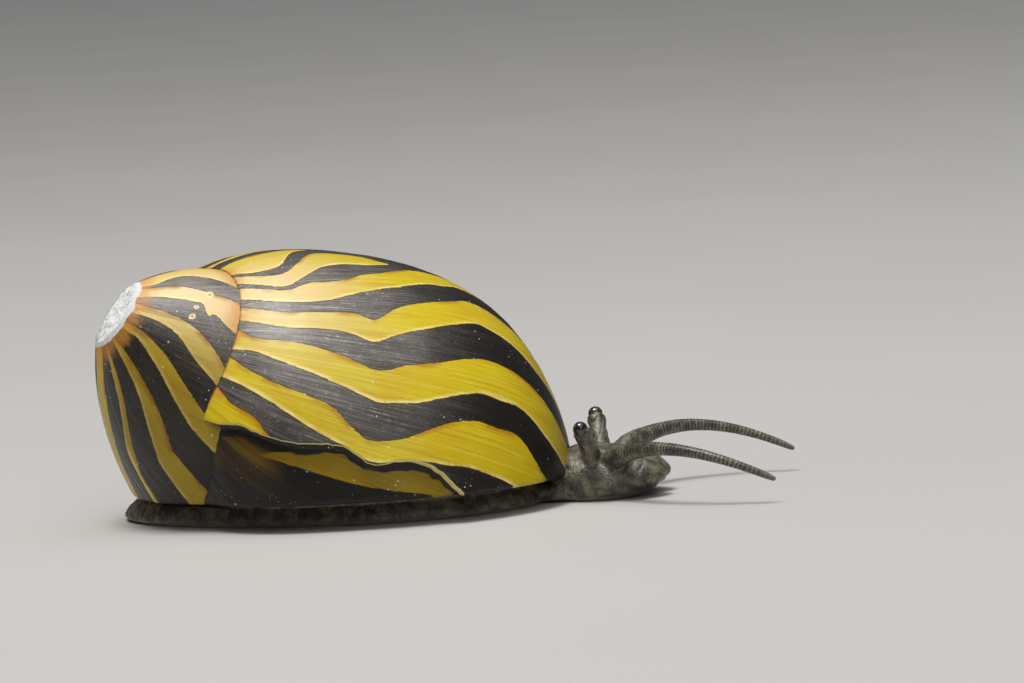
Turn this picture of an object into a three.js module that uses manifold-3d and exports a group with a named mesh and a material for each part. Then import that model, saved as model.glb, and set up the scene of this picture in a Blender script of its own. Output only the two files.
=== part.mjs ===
// Zebra nerite snail, life size, as a still model: a globose striped shell set over a creeping
// foot, with the snout, feelers and eyes out in front. Millimetres, +Z up. The floor is z = 0,
// the origin is in the middle of the sole, and the animal heads towards +X with its left at +Y.

import * as THREE from "three";
import { mergeVertices } from "three/addons/utils/BufferGeometryUtils.js";
import Module from "manifold-3d";

const wasm = await Module();
wasm.setup();

const rad = THREE.MathUtils.degToRad;
const clamp = THREE.MathUtils.clamp;
const smoothstep = THREE.MathUtils.smoothstep;
const lerp = THREE.MathUtils.lerp;

const TURN = 360;
const HALF_TURN = TURN / 2;

// Gap that neighbouring nodes keep.
const GAP = 0.3;
// Height of the shell's rim, and of the foot's edge under it.
const RIM_HEIGHT = 1.3;
const FOOT_EDGE = RIM_HEIGHT - GAP;

// The coiling axis: where its ideal tip would be, its rise above the floor, and its swing from
// straight back towards the animal's right.
const AXIS_TIP = new THREE.Vector3(-11.16, -5.79, 11.92);
const AXIS_RISE = 38.1;
const AXIS_SWING = 35.2;
const AXIS_SPIN = 4.4;

// The whorl: growth in one turn, and the oval that it grows by, as it is at the last lip.
const TURN_GROWTH = 1.923;
const OVAL = {
  halfLong: 15.25,
  halfShort: 13.8,
  tilt: -75.15,
  fromAxis: 0.65,
  fromTip: 21.3,
  squareness: -0.076,
};
// Turn angles in degrees, negative before the last lip. The seam drops along the axis at the end.
const FIRST_TURN = -760;
const LAST_TURN = 8;
const DROP = { depth: 1.88, start: -68.8, end: -2.3 };
// The old lip's broken edge, which the younger shell continues below, set in by a share of its size
// and begun some degrees inside the older shell.
const OLD_LIP = { atSeam: -54, sweep: 32, sweepAngle: 59, setIn: 0.042, overlap: 6 };
// The worn flat at the tip: its radius, the depth of its edge in front and how much deeper its
// middle is, the turn angle of its deepest side, and how far the wear has bitten past the edge.
const WORN = { radius: 1.52, depth: 1.84, lean: 0.2, deepest: -275, bite: 0.05 };
// The seam: its angle round the oval, the angle of the whorl before that it lies on, the turn
// angles over which it winds out of the worn flat's edge, how far its pull on the oval reaches,
// and the share of the way to the heart that each covered degree of the whorl before is tucked in.
const SEAM = { angle: 7, under: 43.97, start: -400, end: -160, reach: 37, tuck: 0.01 };
// Angles round the oval that the solids span: from above the seam to the pole, on the spire only as
// far as the next whorl hides it, and for the soft body from below the seam.
const ABOVE_SEAM = -3;
const POLE = 162;
const HIDDEN = 62;
const BELOW_SEAM = 9;
// Degrees between the facets of the shell's outside and of its inside, and the shortest stretch.
const FINE = 4;
const COARSE = 9;
const SHORTEST_STRETCH = 10;
// Radius and depth of the place inside the shell that every stretch of whorl is closed to, and the
// core along the axis, with the depth at which the hollow's own core starts.
const HEART = new THREE.Vector2(0, 15);
const CORE = { radius: 1.4, length: 20, top: 8 };

// The hollow under the shell: wall as a share of its size, its roof, and the deck that closes the
// left rear of the mouth, with its straight edge's direction and place.
const WALL_SHARE = 0.115;
const MANTLE_SHARE = 0.045;
const PAN_DEPTH = 1.2;
const MOUTH_DEPTH = 5.5;
const DECK_EDGE = { x: -0.1, y: 0.4, heading: 40 };

// The foot: its half length, half width, how much narrower it is behind and in front, its height
// under the shell, and the square front that faces the neck.
const FOOT = { halfLength: 11.2, halfWidth: 7.9, back: 0.76, front: 0.92, crown: RIM_HEIGHT, frontX: 9.9 };
const OPERCULUM = { length: 10.5, width: 5.4, thickness: 0.6, x: -3.6, y: 3.6 };

// The head: a muzzle in front of the rim, and a low neck that reaches back under it to the foot.
// The muzzle is a ball with its middle at shares of the head's length and height, which broadens
// and lowers forwards and is notched in front.
const HEAD = {
  length: 4.6,
  width: 5.4,
  height: 2.7,
  browX: 11.4,
  middle: { along: 0.28, up: 0.38 },
  broader: 0.12,
  lower: 0.38,
  notch: 0.55,
  notchWidth: 0.22,
};
const NECK_X = FOOT.frontX + GAP;
// Feelers and eyestalks, as they are on the left: where they root, and the feeler's bend and end
// as shares of its length forwards and out, with their heights.
const FEELER = {
  length: 9.4,
  rootRadius: 0.5,
  tipRadius: 0.14,
  taper: 0.8,
  lengths: 3,
  root: [13, 1.5, 1.75],
  bend: { ahead: 0.3, out: 0.5, height: 3.9 },
  end: { ahead: 0.9, out: 0.46, height: 1.1 },
};
const EYESTALK = { rootRadius: 0.52, tipRadius: 0.36, root: [12.45, 1.5, 1.6], end: [12.1, 2.75, 3.15] };
const EYE_RADIUS = 0.36;

const FAR = 60;
const BAR_SIDES = 16;
const STEM = { sides: 12, steps: 8, stalkSteps: 4 };
// Vertices closer than this are one.
const SAME_VERTEX = 0.001;

// A closed geometry as a solid, with the vertices that nearly meet made one.
function toSolid(geometry) {
  const bare = geometry.clone();
  bare.deleteAttribute("normal");
  bare.deleteAttribute("uv");
  const merged = mergeVertices(bare, SAME_VERTEX);
  return new wasm.Manifold(
    new wasm.Mesh({
      numProp: 3,
      vertProperties: new Float32Array(merged.attributes.position.array),
      triVerts: new Uint32Array(merged.index.array),
    }),
  );
}

function toGeometry(solid) {
  const mesh = solid.getMesh();
  const geometry = new THREE.BufferGeometry();
  geometry.setAttribute("position", new THREE.BufferAttribute(mesh.vertProperties, 3));
  geometry.setIndex(new THREE.BufferAttribute(mesh.triVerts, 1));
  return geometry;
}

// The largest closed surface of a solid, and that again once its vertices are merged.
function largest(solid) {
  return solid.decompose().sort((a, b) => b.volume() - a.volume())[0];
}

function cleaned(solid) {
  return largest(toSolid(toGeometry(largest(solid))));
}

function join(solids) {
  return solids.reduce((all, solid) => all.add(solid));
}

// A box between two heights, as wide as anything here.
function slab(bottom, top) {
  const box = new THREE.BoxGeometry(2 * FAR, 2 * FAR, top - bottom);
  return toSolid(box.translate(0, 0, (bottom + top) / 2));
}

// The coiling axis's own frame: upwards across the axis, across it, and along it to the tip.
const axis = new THREE.Vector3(
  -Math.cos(rad(AXIS_RISE)) * Math.cos(rad(AXIS_SWING)),
  -Math.cos(rad(AXIS_RISE)) * Math.sin(rad(AXIS_SWING)),
  Math.sin(rad(AXIS_RISE)),
);
const upAcross = new THREE.Vector3(0, 0, 1).addScaledVector(axis, -axis.z).normalize();
const sideAcross = new THREE.Vector3().crossVectors(axis, upAcross);

// A point at a radius from the axis, a depth below its tip and a turn angle.
function fromAxis(radius, depth, turn) {
  const around = rad(AXIS_SPIN - HALF_TURN - turn);
  return AXIS_TIP.clone()
    .addScaledVector(upAcross, radius * Math.cos(around))
    .addScaledVector(sideAcross, radius * Math.sin(around))
    .addScaledVector(axis, -depth);
}

function growth(turn) {
  return TURN_GROWTH ** (turn / TURN);
}

// The plain whorl's radius and depth at a turn angle and an angle round its oval, shrunk by a
// share of its size.
function plainWhorl(turn, angle, shrink) {
  const round = rad(angle);
  const square = 1 + OVAL.squareness * Math.sin(2 * round) ** 2;
  const long = OVAL.halfLong * Math.cos(round) * square * (1 - shrink);
  const short = OVAL.halfShort * Math.sin(round) * square * (1 - shrink);
  const tilt = rad(OVAL.tilt);
  const size = growth(turn);
  const drop = DROP.depth * smoothstep(turn, DROP.start, DROP.end);
  const radius = OVAL.fromAxis + long * Math.cos(tilt) - short * Math.sin(tilt);
  const depth = OVAL.fromTip + long * Math.sin(tilt) + short * Math.cos(tilt);
  return new THREE.Vector2(size * radius, size * depth + drop);
}

// The angle of the whorl before at which the seam covers it.
function underSeam(turn) {
  return lerp(SEAM.angle, SEAM.under, smoothstep(turn, SEAM.start, SEAM.end));
}

// The seam's radius and depth: the worn flat's edge at first, then a place on the whorl before.
function seamAt(turn) {
  if (turn <= SEAM.start) {
    const deeper = WORN.lean * (1 + Math.cos(rad(turn - WORN.deepest)));
    return new THREE.Vector2(WORN.radius, WORN.depth + deeper);
  }
  return whorl(turn - TURN, underSeam(turn), 0);
}

// The whorl's radius and depth, with its upper part drawn to the seam, and tucked in under the
// next seam where that is still close to the worn flat.
function whorl(turn, angle, shrink) {
  const place = plainWhorl(turn, angle, shrink);
  const pull = 1 - (angle - SEAM.angle) / SEAM.reach;
  if (turn < SEAM.end && pull > 0) {
    const shift = seamAt(turn).sub(plainWhorl(turn, SEAM.angle, 0));
    place.addScaledVector(shift, pull ** 2);
  }
  const covered = angle - underSeam(turn + TURN);
  if (turn + TURN < SEAM.end && covered > 0) place.lerp(HEART, SEAM.tuck * covered);
  return place;
}

// The whorl's surface at a turn angle and an angle round its oval, shrunk by a share of its size.
function whorlPoint(turn, angle, shrink) {
  const { x: radius, y: depth } = whorl(turn, angle, shrink);
  return fromAxis(Math.max(radius, 0), depth, turn);
}

// The turn angle of the old lip, which sweeps back from the seam.
function oldLip(angle) {
  const share = (angle - SEAM.angle) / OLD_LIP.sweepAngle;
  return OLD_LIP.atSeam - OLD_LIP.sweep * Math.sin(Math.PI / 2 * clamp(share, -0.4, 2));
}

// A stretch of whorl as a solid: its surface, closed to the heart, a point on the axis that
// every stretch faces.
function whorlStretch({ from, to, angles, step, shrink = 0 }) {
  const [first, last] = angles;
  const turns = Math.max(1, Math.round((to(first) - from(first)) / step));
  const rounds = Math.round((last - first) / step);
  const positions = [];
  for (let i = 0; i <= turns; i++)
    for (let j = 0; j <= rounds; j++) {
      const angle = lerp(first, last, j / rounds);
      positions.push(...whorlPoint(lerp(from(angle), to(angle), i / turns), angle, shrink));
    }
  const centre = positions.length / 3;
  positions.push(...fromAxis(HEART.x, HEART.y, 0));
  const at = (i, j) => i * (rounds + 1) + j;
  const faces = [];
  for (let i = 0; i < turns; i++)
    for (let j = 0; j < rounds; j++) {
      faces.push(at(i, j), at(i + 1, j + 1), at(i, j + 1));
      faces.push(at(i, j), at(i + 1, j), at(i + 1, j + 1));
    }
  for (let i = 0; i < turns; i++) {
    faces.push(centre, at(i + 1, 0), at(i, 0));
    faces.push(centre, at(i, rounds), at(i + 1, rounds));
  }
  for (let j = 0; j < rounds; j++) {
    faces.push(centre, at(0, j), at(0, j + 1));
    faces.push(centre, at(turns, j + 1), at(turns, j));
  }
  const geometry = new THREE.BufferGeometry();
  geometry.setAttribute("position", new THREE.Float32BufferAttribute(positions, 3));
  geometry.setIndex(faces);
  return toSolid(geometry);
}

// Stretches of half a turn over a range of turn angles, the last one drawn out to the range's end.
function whorlRun(from, to, angles, step, shrink) {
  const stretches = [];
  for (let turn = from; turn < to - SHORTEST_STRETCH; turn += HALF_TURN) {
    const end = turn + HALF_TURN + SHORTEST_STRETCH > to ? to : turn + HALF_TURN;
    stretches.push(whorlStretch({ from: () => turn, to: () => end, angles, step, shrink }));
  }
  return join(stretches);
}

// A round bar along the axis between two depths.
function axisBar(radius, from, to) {
  const bar = new THREE.CylinderGeometry(radius, radius, to - from, BAR_SIDES);
  bar.applyQuaternion(new THREE.Quaternion().setFromUnitVectors(new THREE.Vector3(0, 1, 0), axis));
  const middle = fromAxis(0, (from + to) / 2, 0);
  return toSolid(bar.translate(...middle));
}

// The space beyond the worn flat.
function wornSpace() {
  const middle = fromAxis(0, WORN.depth + WORN.lean + WORN.bite, 0);
  const down = fromAxis(1, 0, WORN.deepest).sub(AXIS_TIP);
  const outwards = axis.clone().addScaledVector(down, WORN.lean / WORN.radius).normalize();
  const bar = new THREE.CylinderGeometry(FAR / 4, FAR / 4, FAR, BAR_SIDES).translate(0, FAR / 2, 0);
  bar.applyQuaternion(new THREE.Quaternion().setFromUnitVectors(new THREE.Vector3(0, 1, 0), outwards));
  return toSolid(bar.translate(...middle));
}

// The space on the mouth's side of the deck's edge, moved away from the deck by an amount.
function mouthSide(away) {
  const box = new THREE.BoxGeometry(2 * FAR, FAR, 2 * FAR);
  box.translate(0, -FAR / 2 - away, 0).rotateZ(rad(DECK_EDGE.heading));
  return toSolid(box.translate(DECK_EDGE.x, DECK_EDGE.y, 0));
}

// The last whorl's inside from an angle below the seam, with a wall of a share of its size.
function inside(share, angle, coreRadius) {
  const space = whorlRun(-TURN, LAST_TURN, [angle, POLE], COARSE, share);
  return space.add(axisBar(coreRadius, CORE.top, CORE.length));
}

function shell() {
  const angles = [ABOVE_SEAM, POLE];
  const spire = whorlRun(FIRST_TURN, -TURN, [ABOVE_SEAM, HIDDEN], FINE, 0);
  const body = whorlRun(-TURN, -HALF_TURN, angles, FINE, 0);
  const oldEnd = whorlStretch({ from: () => -HALF_TURN, to: oldLip, angles, step: FINE });
  const young = whorlStretch({
    from: (angle) => oldLip(angle) - OLD_LIP.overlap,
    to: () => LAST_TURN,
    angles,
    step: FINE,
    shrink: OLD_LIP.setIn,
  });
  const whole = join([spire, body, oldEnd, young, axisBar(CORE.radius, 0, CORE.length)]);
  const hollow = inside(WALL_SHARE, 0, CORE.radius);
  const pan = hollow.intersect(slab(0, RIM_HEIGHT + PAN_DEPTH));
  const mouth = hollow.intersect(slab(0, RIM_HEIGHT + MOUTH_DEPTH)).intersect(mouthSide(0));
  return whole
    .intersect(slab(RIM_HEIGHT, FAR))
    .subtract(wornSpace())
    .subtract(pan)
    .subtract(mouth);
}

// The space that the soft parts may take up inside the shell.
function softInside() {
  return inside(WALL_SHARE + MANTLE_SHARE, BELOW_SEAM, CORE.radius - GAP);
}

// The soft body that fills the shell's mouth.
function mantle() {
  return softInside()
    .intersect(slab(RIM_HEIGHT + GAP, RIM_HEIGHT + MOUTH_DEPTH - GAP))
    .intersect(mouthSide(GAP));
}

// Everything in front of a place on the animal's length.
function ahead(x) {
  return toSolid(new THREE.BoxGeometry(FAR, 2 * FAR, 2 * FAR).translate(x + FAR / 2, 0, 0));
}

// The sole: an oval, blunt in front and narrower behind, with a thin rounded edge.
function foot() {
  const profile = [
    [0, 0],
    [0.93, 0],
    [0.98, 0.12],
    [1, 0.4],
    [0.99, 0.7],
    [0.95, FOOT_EDGE],
    [0.72, FOOT_EDGE],
    [0.66, FOOT.crown],
    [0, FOOT.crown],
  ];
  const oval = new THREE.LatheGeometry(profile.map(([x, y]) => new THREE.Vector2(x, y)), 56);
  oval.rotateX(Math.PI / 2);
  const place = oval.attributes.position;
  for (let i = 0; i < place.count; i++) {
    const along = place.getX(i);
    const width = lerp(FOOT.back, FOOT.front, smoothstep(along, -1, 0.6));
    const blunt = along > 0 ? along * (1 - 0.1 * along ** 3) : along;
    place.setX(i, blunt * FOOT.halfLength);
    place.setY(i, place.getY(i) * FOOT.halfWidth * width);
  }
  return toSolid(oval).subtract(ahead(FOOT.frontX));
}

// The lid on the back of the foot, a half moon that lies under the deck.
function operculum() {
  const outline = new THREE.Shape();
  outline.moveTo(-OPERCULUM.length / 2, 0);
  outline.bezierCurveTo(
    -OPERCULUM.length * 0.45, OPERCULUM.width * 1.3,
    OPERCULUM.length * 0.4, OPERCULUM.width * 1.35,
    OPERCULUM.length / 2, 0,
  );
  outline.quadraticCurveTo(0, -OPERCULUM.width * 0.12, -OPERCULUM.length / 2, 0);
  const plate = new THREE.ExtrudeGeometry(outline, {
    depth: OPERCULUM.thickness,
    bevelEnabled: false,
    curveSegments: 20,
  });
  plate.rotateZ(rad(DECK_EDGE.heading));
  plate.translate(OPERCULUM.x, OPERCULUM.y, FOOT.crown + GAP);
  return toSolid(plate).intersect(softInside());
}

// The snout: a low rounded muzzle with two lobes in front, flat where it grazes the floor, made
// larger all round by an amount.
function muzzle(more = 0) {
  const { middle } = HEAD;
  const ball = new THREE.SphereGeometry(1, 36, 24);
  const place = ball.attributes.position;
  for (let i = 0; i < place.count; i++) {
    const along = place.getX(i);
    const across = place.getY(i);
    const reach = Math.max(along, 0);
    const notch = HEAD.notch * reach ** 2 * Math.exp(-((across / HEAD.notchWidth) ** 2));
    const broad = 1 + HEAD.broader * smoothstep(along, 0.1, 0.8);
    const low = 1 - HEAD.lower * smoothstep(along, -0.4, 0.9);
    place.setX(i, along * (HEAD.length * (1 - middle.along) + more) - notch);
    place.setY(i, across * (HEAD.width / 2 + more) * broad);
    place.setZ(i, place.getZ(i) * (HEAD.height * (1 - middle.up) + more) * low);
  }
  return toSolid(ball.translate(HEAD.browX + HEAD.length * middle.along, 0, HEAD.height * middle.up));
}

function head() {
  const brow = ahead(HEAD.browX).intersect(slab(0, FAR));
  const neck = ahead(NECK_X).intersect(slab(0, FOOT_EDGE));
  return muzzle().intersect(brow.add(neck));
}

// A tapered round stem bent along a curve, between two shares of its length.
function stem(curve, radiusAt, from, to, sides, steps) {
  const tube = new THREE.CylinderGeometry(1, 1, 1, sides, steps);
  const place = tube.attributes.position;
  const out = new THREE.Vector3();
  for (let i = 0; i < place.count; i++) {
    const share = lerp(from, to, place.getY(i) + 0.5);
    const ahead = curve.getTangentAt(share);
    const side = new THREE.Vector3(0, 0, 1).cross(ahead).normalize();
    const above = new THREE.Vector3().crossVectors(ahead, side);
    const radius = radiusAt(share);
    out.copy(curve.getPointAt(share));
    out.addScaledVector(side, place.getX(i) * radius);
    out.addScaledVector(above, -place.getZ(i) * radius);
    place.setXYZ(i, out.x, out.y, out.z);
  }
  return toSolid(tube);
}

// One feeler's line, from inside the snout's side forwards and out. Side is 1 on the left.
function feelerCurve(side) {
  const [x, y, z] = FEELER.root;
  const place = ({ ahead, out, height }) =>
    new THREE.Vector3(x + FEELER.length * ahead, side * (y + FEELER.length * out), height);
  return new THREE.QuadraticBezierCurve3(
    new THREE.Vector3(x, side * y, z),
    place(FEELER.bend),
    place(FEELER.end),
  );
}

function feelerRadius(share) {
  return lerp(FEELER.rootRadius, FEELER.tipRadius, share ** FEELER.taper);
}

function eyestalkCurve(side) {
  const place = ([x, y, z]) => new THREE.Vector3(x, side * y, z);
  return new THREE.LineCurve3(place(EYESTALK.root), place(EYESTALK.end));
}

const SKIN = { roughness: 0.45, metalness: 0, color: 0x2b2823 };
const FINISH = {
  shell: { roughness: 0.25, metalness: 0, color: 0xb8951f },
  operculum: { roughness: 0.4, metalness: 0, color: 0x8a5a3a },
  eye: { roughness: 0.12, metalness: 0, color: 0x060606 },
};

const snail = new THREE.Group();

function addPiece(name, solid, finish = SKIN) {
  const geometry = toGeometry(cleaned(solid));
  geometry.computeVertexNormals();
  const piece = new THREE.Mesh(geometry, new THREE.MeshStandardMaterial(finish));
  piece.name = name;
  snail.add(piece);
}

addPiece("shell", shell(), FINISH.shell);
addPiece("mantle", mantle());
addPiece("operculum", operculum(), FINISH.operculum);
addPiece("foot", foot());
addPiece("head", head());

const aroundMuzzle = muzzle(GAP);
for (const [name, side] of [["left", 1], ["right", -1]]) {
  const curve = feelerCurve(side);
  const gapShare = GAP / curve.getLength();
  for (let part = 0; part < FEELER.lengths; part++) {
    const from = part === 0 ? 0 : part / FEELER.lengths + gapShare / 2;
    const to = part === FEELER.lengths - 1 ? 1 : (part + 1) / FEELER.lengths - gapShare / 2;
    const length = stem(curve, feelerRadius, from, to, STEM.sides, STEM.steps);
    addPiece(`tentacle_${name}_${part + 1}`, length.subtract(aroundMuzzle));
  }
  const stalk = eyestalkCurve(side);
  const stalkRadius = (share) => lerp(EYESTALK.rootRadius, EYESTALK.tipRadius, share);
  const widerRadius = (share) => feelerRadius(share) + GAP;
  const aroundFeeler = stem(curve, widerRadius, 0, 0.5, STEM.sides, STEM.steps);
  const stub = stem(stalk, stalkRadius, 0, 1, STEM.sides, STEM.stalkSteps);
  addPiece(`eyestalk_${name}`, stub.subtract(aroundMuzzle).subtract(aroundFeeler));
  const eye = new THREE.SphereGeometry(EYE_RADIUS, 14, 10);
  const beyond = stalk.getTangentAt(1).multiplyScalar(GAP + EYE_RADIUS).add(stalk.getPoint(1));
  addPiece(`eye_${name}`, toSolid(eye.translate(...beyond)), FINISH.eye);
}

export default snail;
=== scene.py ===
"""Zebra nerite snail, life size: the finished model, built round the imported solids.

The shell is one coiled sheet that follows the solids' own growth law, with its stripes, its old
broken lip, its worn tip and its rim. One skin covers the soft body. Lengths are in metres in the
part's frame, unless a name or a docstring says millimetres.
"""

import itertools
import logging
import math
from dataclasses import dataclass
from enum import Enum
from typing import Callable, NamedTuple, Sequence

import bmesh
import bpy
import numpy as np
from mathutils import Matrix, Vector, noise


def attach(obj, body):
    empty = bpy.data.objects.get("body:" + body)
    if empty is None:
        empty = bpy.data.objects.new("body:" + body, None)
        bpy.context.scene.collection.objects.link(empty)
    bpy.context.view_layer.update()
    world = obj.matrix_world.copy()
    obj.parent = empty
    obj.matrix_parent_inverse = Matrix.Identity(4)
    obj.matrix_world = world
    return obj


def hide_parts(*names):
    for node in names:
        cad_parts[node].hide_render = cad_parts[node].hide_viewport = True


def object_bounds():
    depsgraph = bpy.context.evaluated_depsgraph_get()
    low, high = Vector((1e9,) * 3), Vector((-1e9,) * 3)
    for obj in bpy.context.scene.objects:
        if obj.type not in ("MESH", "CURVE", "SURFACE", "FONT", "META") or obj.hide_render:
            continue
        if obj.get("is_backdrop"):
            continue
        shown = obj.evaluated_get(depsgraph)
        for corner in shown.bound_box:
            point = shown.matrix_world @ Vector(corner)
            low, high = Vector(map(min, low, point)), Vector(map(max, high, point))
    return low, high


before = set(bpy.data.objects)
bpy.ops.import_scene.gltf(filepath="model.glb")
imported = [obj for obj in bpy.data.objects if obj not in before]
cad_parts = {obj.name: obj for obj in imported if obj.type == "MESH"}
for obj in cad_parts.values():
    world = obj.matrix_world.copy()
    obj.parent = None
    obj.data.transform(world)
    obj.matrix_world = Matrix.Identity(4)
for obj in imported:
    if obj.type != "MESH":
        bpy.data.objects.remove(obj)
CAD_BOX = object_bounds()

LOG = logging.getLogger("snail")
MM = 0.001
BODY = "root"
# A distance, in degrees or millimetres, that no marking reaches.
FAR = 9.0

Colour = tuple[float, float, float, float]
Triple = tuple[float, float, float]
BMesh = bmesh.types.BMesh
Material = bpy.types.Material
Node = bpy.types.Node
Object = bpy.types.Object
Socket = bpy.types.NodeSocket
Tree = bpy.types.NodeTree


class Slot(Enum):
    """The record's material slots."""

    SHELL = "shell"
    SKIN = "skin"
    LID = "lid"
    EYE = "eye"


def smooth_share(value: np.ndarray, low: float, high: float) -> np.ndarray:
    """How far a value has come from low to high, eased at both ends."""
    share = np.clip((value - low) / (high - low), 0.0, 1.0)
    return share * share * (3.0 - 2.0 * share)


def stretch_share(
    value: np.ndarray, start: float, full: float, fading: float, gone: float
) -> np.ndarray:
    """How far a value lies inside a stretch that has eased ends."""
    return smooth_share(value, start, full) * (1 - smooth_share(value, fading, gone))


def swell(at: np.ndarray, size: float, middle: float, width: float) -> np.ndarray:
    """How high a soft round swelling stands at a place."""
    return size * np.exp(-(((at - middle) / width) ** 2))


def flowing(at: np.ndarray, stations: Sequence[float], values: Sequence[float]) -> np.ndarray:
    """Reads a smooth curve that passes through values at stations and is level beyond them.

    Args:
        at: Where the curve is read.
        stations: Rising places.
        values: The curve's value at each station.

    Returns:
        The curve's values.
    """
    places = np.asarray(stations, float)
    heights = np.asarray(values, float)
    slopes = np.gradient(heights, places)
    clipped = np.clip(at, places[0], places[-1])
    first = np.clip(np.searchsorted(places, clipped) - 1, 0, len(places) - 2)
    step = places[first + 1] - places[first]
    share = (clipped - places[first]) / step
    cube = share**3
    square = share**2
    return (
        (2 * cube - 3 * square + 1) * heights[first]
        + (cube - 2 * square + share) * step * slopes[first]
        + (3 * square - 2 * cube) * heights[first + 1]
        + (cube - square) * step * slopes[first + 1]
    )


def spots_of(mesh: BMesh) -> np.ndarray:
    """Lists the places of a mesh's vertices."""
    return np.array([vert.co for vert in mesh.verts])


def move_to(mesh: BMesh, spots: np.ndarray) -> None:
    """Moves a mesh's vertices to new places."""
    for vert, spot in zip(mesh.verts, spots):
        vert.co = spot


def face_towards(mesh: BMesh, direction: Sequence[float]) -> None:
    """Turns a sheet over if its faces look away from a direction."""
    mesh.normal_update()
    if sum(face.normal.dot(Vector(direction)) for face in mesh.faces) < 0:
        bmesh.ops.reverse_faces(mesh, faces=mesh.faces)


def everything_in(mesh: BMesh) -> list:
    """Lists a mesh's vertices, edges and faces, as a cut wants them."""
    return mesh.verts[:] + mesh.edges[:] + mesh.faces[:]


def moulded_grid(
    columns: int, rows: int, place: Callable[[np.ndarray, np.ndarray], np.ndarray]
) -> BMesh:
    """Bends a flat grid into a surface.

    Args:
        columns: Faces along the first share.
        rows: Faces along the second share.
        place: Gives the points for two arrays of shares from 0 to 1.

    Returns:
        The bent grid.
    """
    mesh = bmesh.new()
    bmesh.ops.create_grid(mesh, x_segments=columns, y_segments=rows, size=0.5)
    spots = spots_of(mesh)
    move_to(mesh, place(spots[:, 0] + 0.5, spots[:, 1] + 0.5))
    return mesh


def moulded_ball(
    segments: int, rings: int, place: Callable[[np.ndarray], np.ndarray]
) -> BMesh:
    """Bends a ball of radius 1 into a closed form.

    Args:
        segments: Faces round the ball.
        rings: Faces from pole to pole.
        place: Gives the new points for an array of the ball's points.

    Returns:
        The bent ball.
    """
    mesh = bmesh.new()
    bmesh.ops.create_uvsphere(mesh, u_segments=segments, v_segments=rings, radius=1.0)
    move_to(mesh, place(spots_of(mesh)))
    bmesh.ops.recalc_face_normals(mesh, faces=mesh.faces)
    return mesh


def disc_shares(across: np.ndarray, along: np.ndarray) -> tuple[np.ndarray, np.ndarray]:
    """Turns a square's shares into a disc's radius share and direction in radians."""
    x = 2 * across - 1
    y = 2 * along - 1
    return np.maximum(np.abs(x), np.abs(y)), np.arctan2(y, x)


def add_values(mesh: BMesh, **values: np.ndarray) -> None:
    """Stores arrays of numbers on a mesh's vertices, each under its own name."""
    for name, numbers in values.items():
        layer = mesh.verts.layers.float.new(name)
        for vert, number in zip(mesh.verts, numbers):
            vert[layer] = float(number)


def mesh_data(name: str, mesh: BMesh) -> bpy.types.Mesh:
    """Turns a mesh, which is used up, into an object's data."""
    data = bpy.data.meshes.new(name)
    mesh.to_mesh(data)
    mesh.free()
    return data


def placed_object(name: str, data: bpy.types.ID) -> Object:
    """Makes an object of its data and puts it into the scene."""
    made = bpy.data.objects.new(name, data)
    bpy.context.collection.objects.link(made)
    return made


def finished_piece(name: str, mesh: BMesh, material: Material) -> Object:
    """Makes a smooth-shaded piece of a mesh and lets it ride on the body.

    Args:
        name: The piece's name.
        mesh: Its mesh, which is used up.
        material: Its material.

    Returns:
        The new object.
    """
    for face in mesh.faces:
        face.smooth = True
    piece = placed_object(name, mesh_data(name, mesh))
    piece.data.materials.append(material)
    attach(piece, BODY)
    LOG.info("%s: %d faces", name, len(piece.data.polygons))
    return piece


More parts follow.
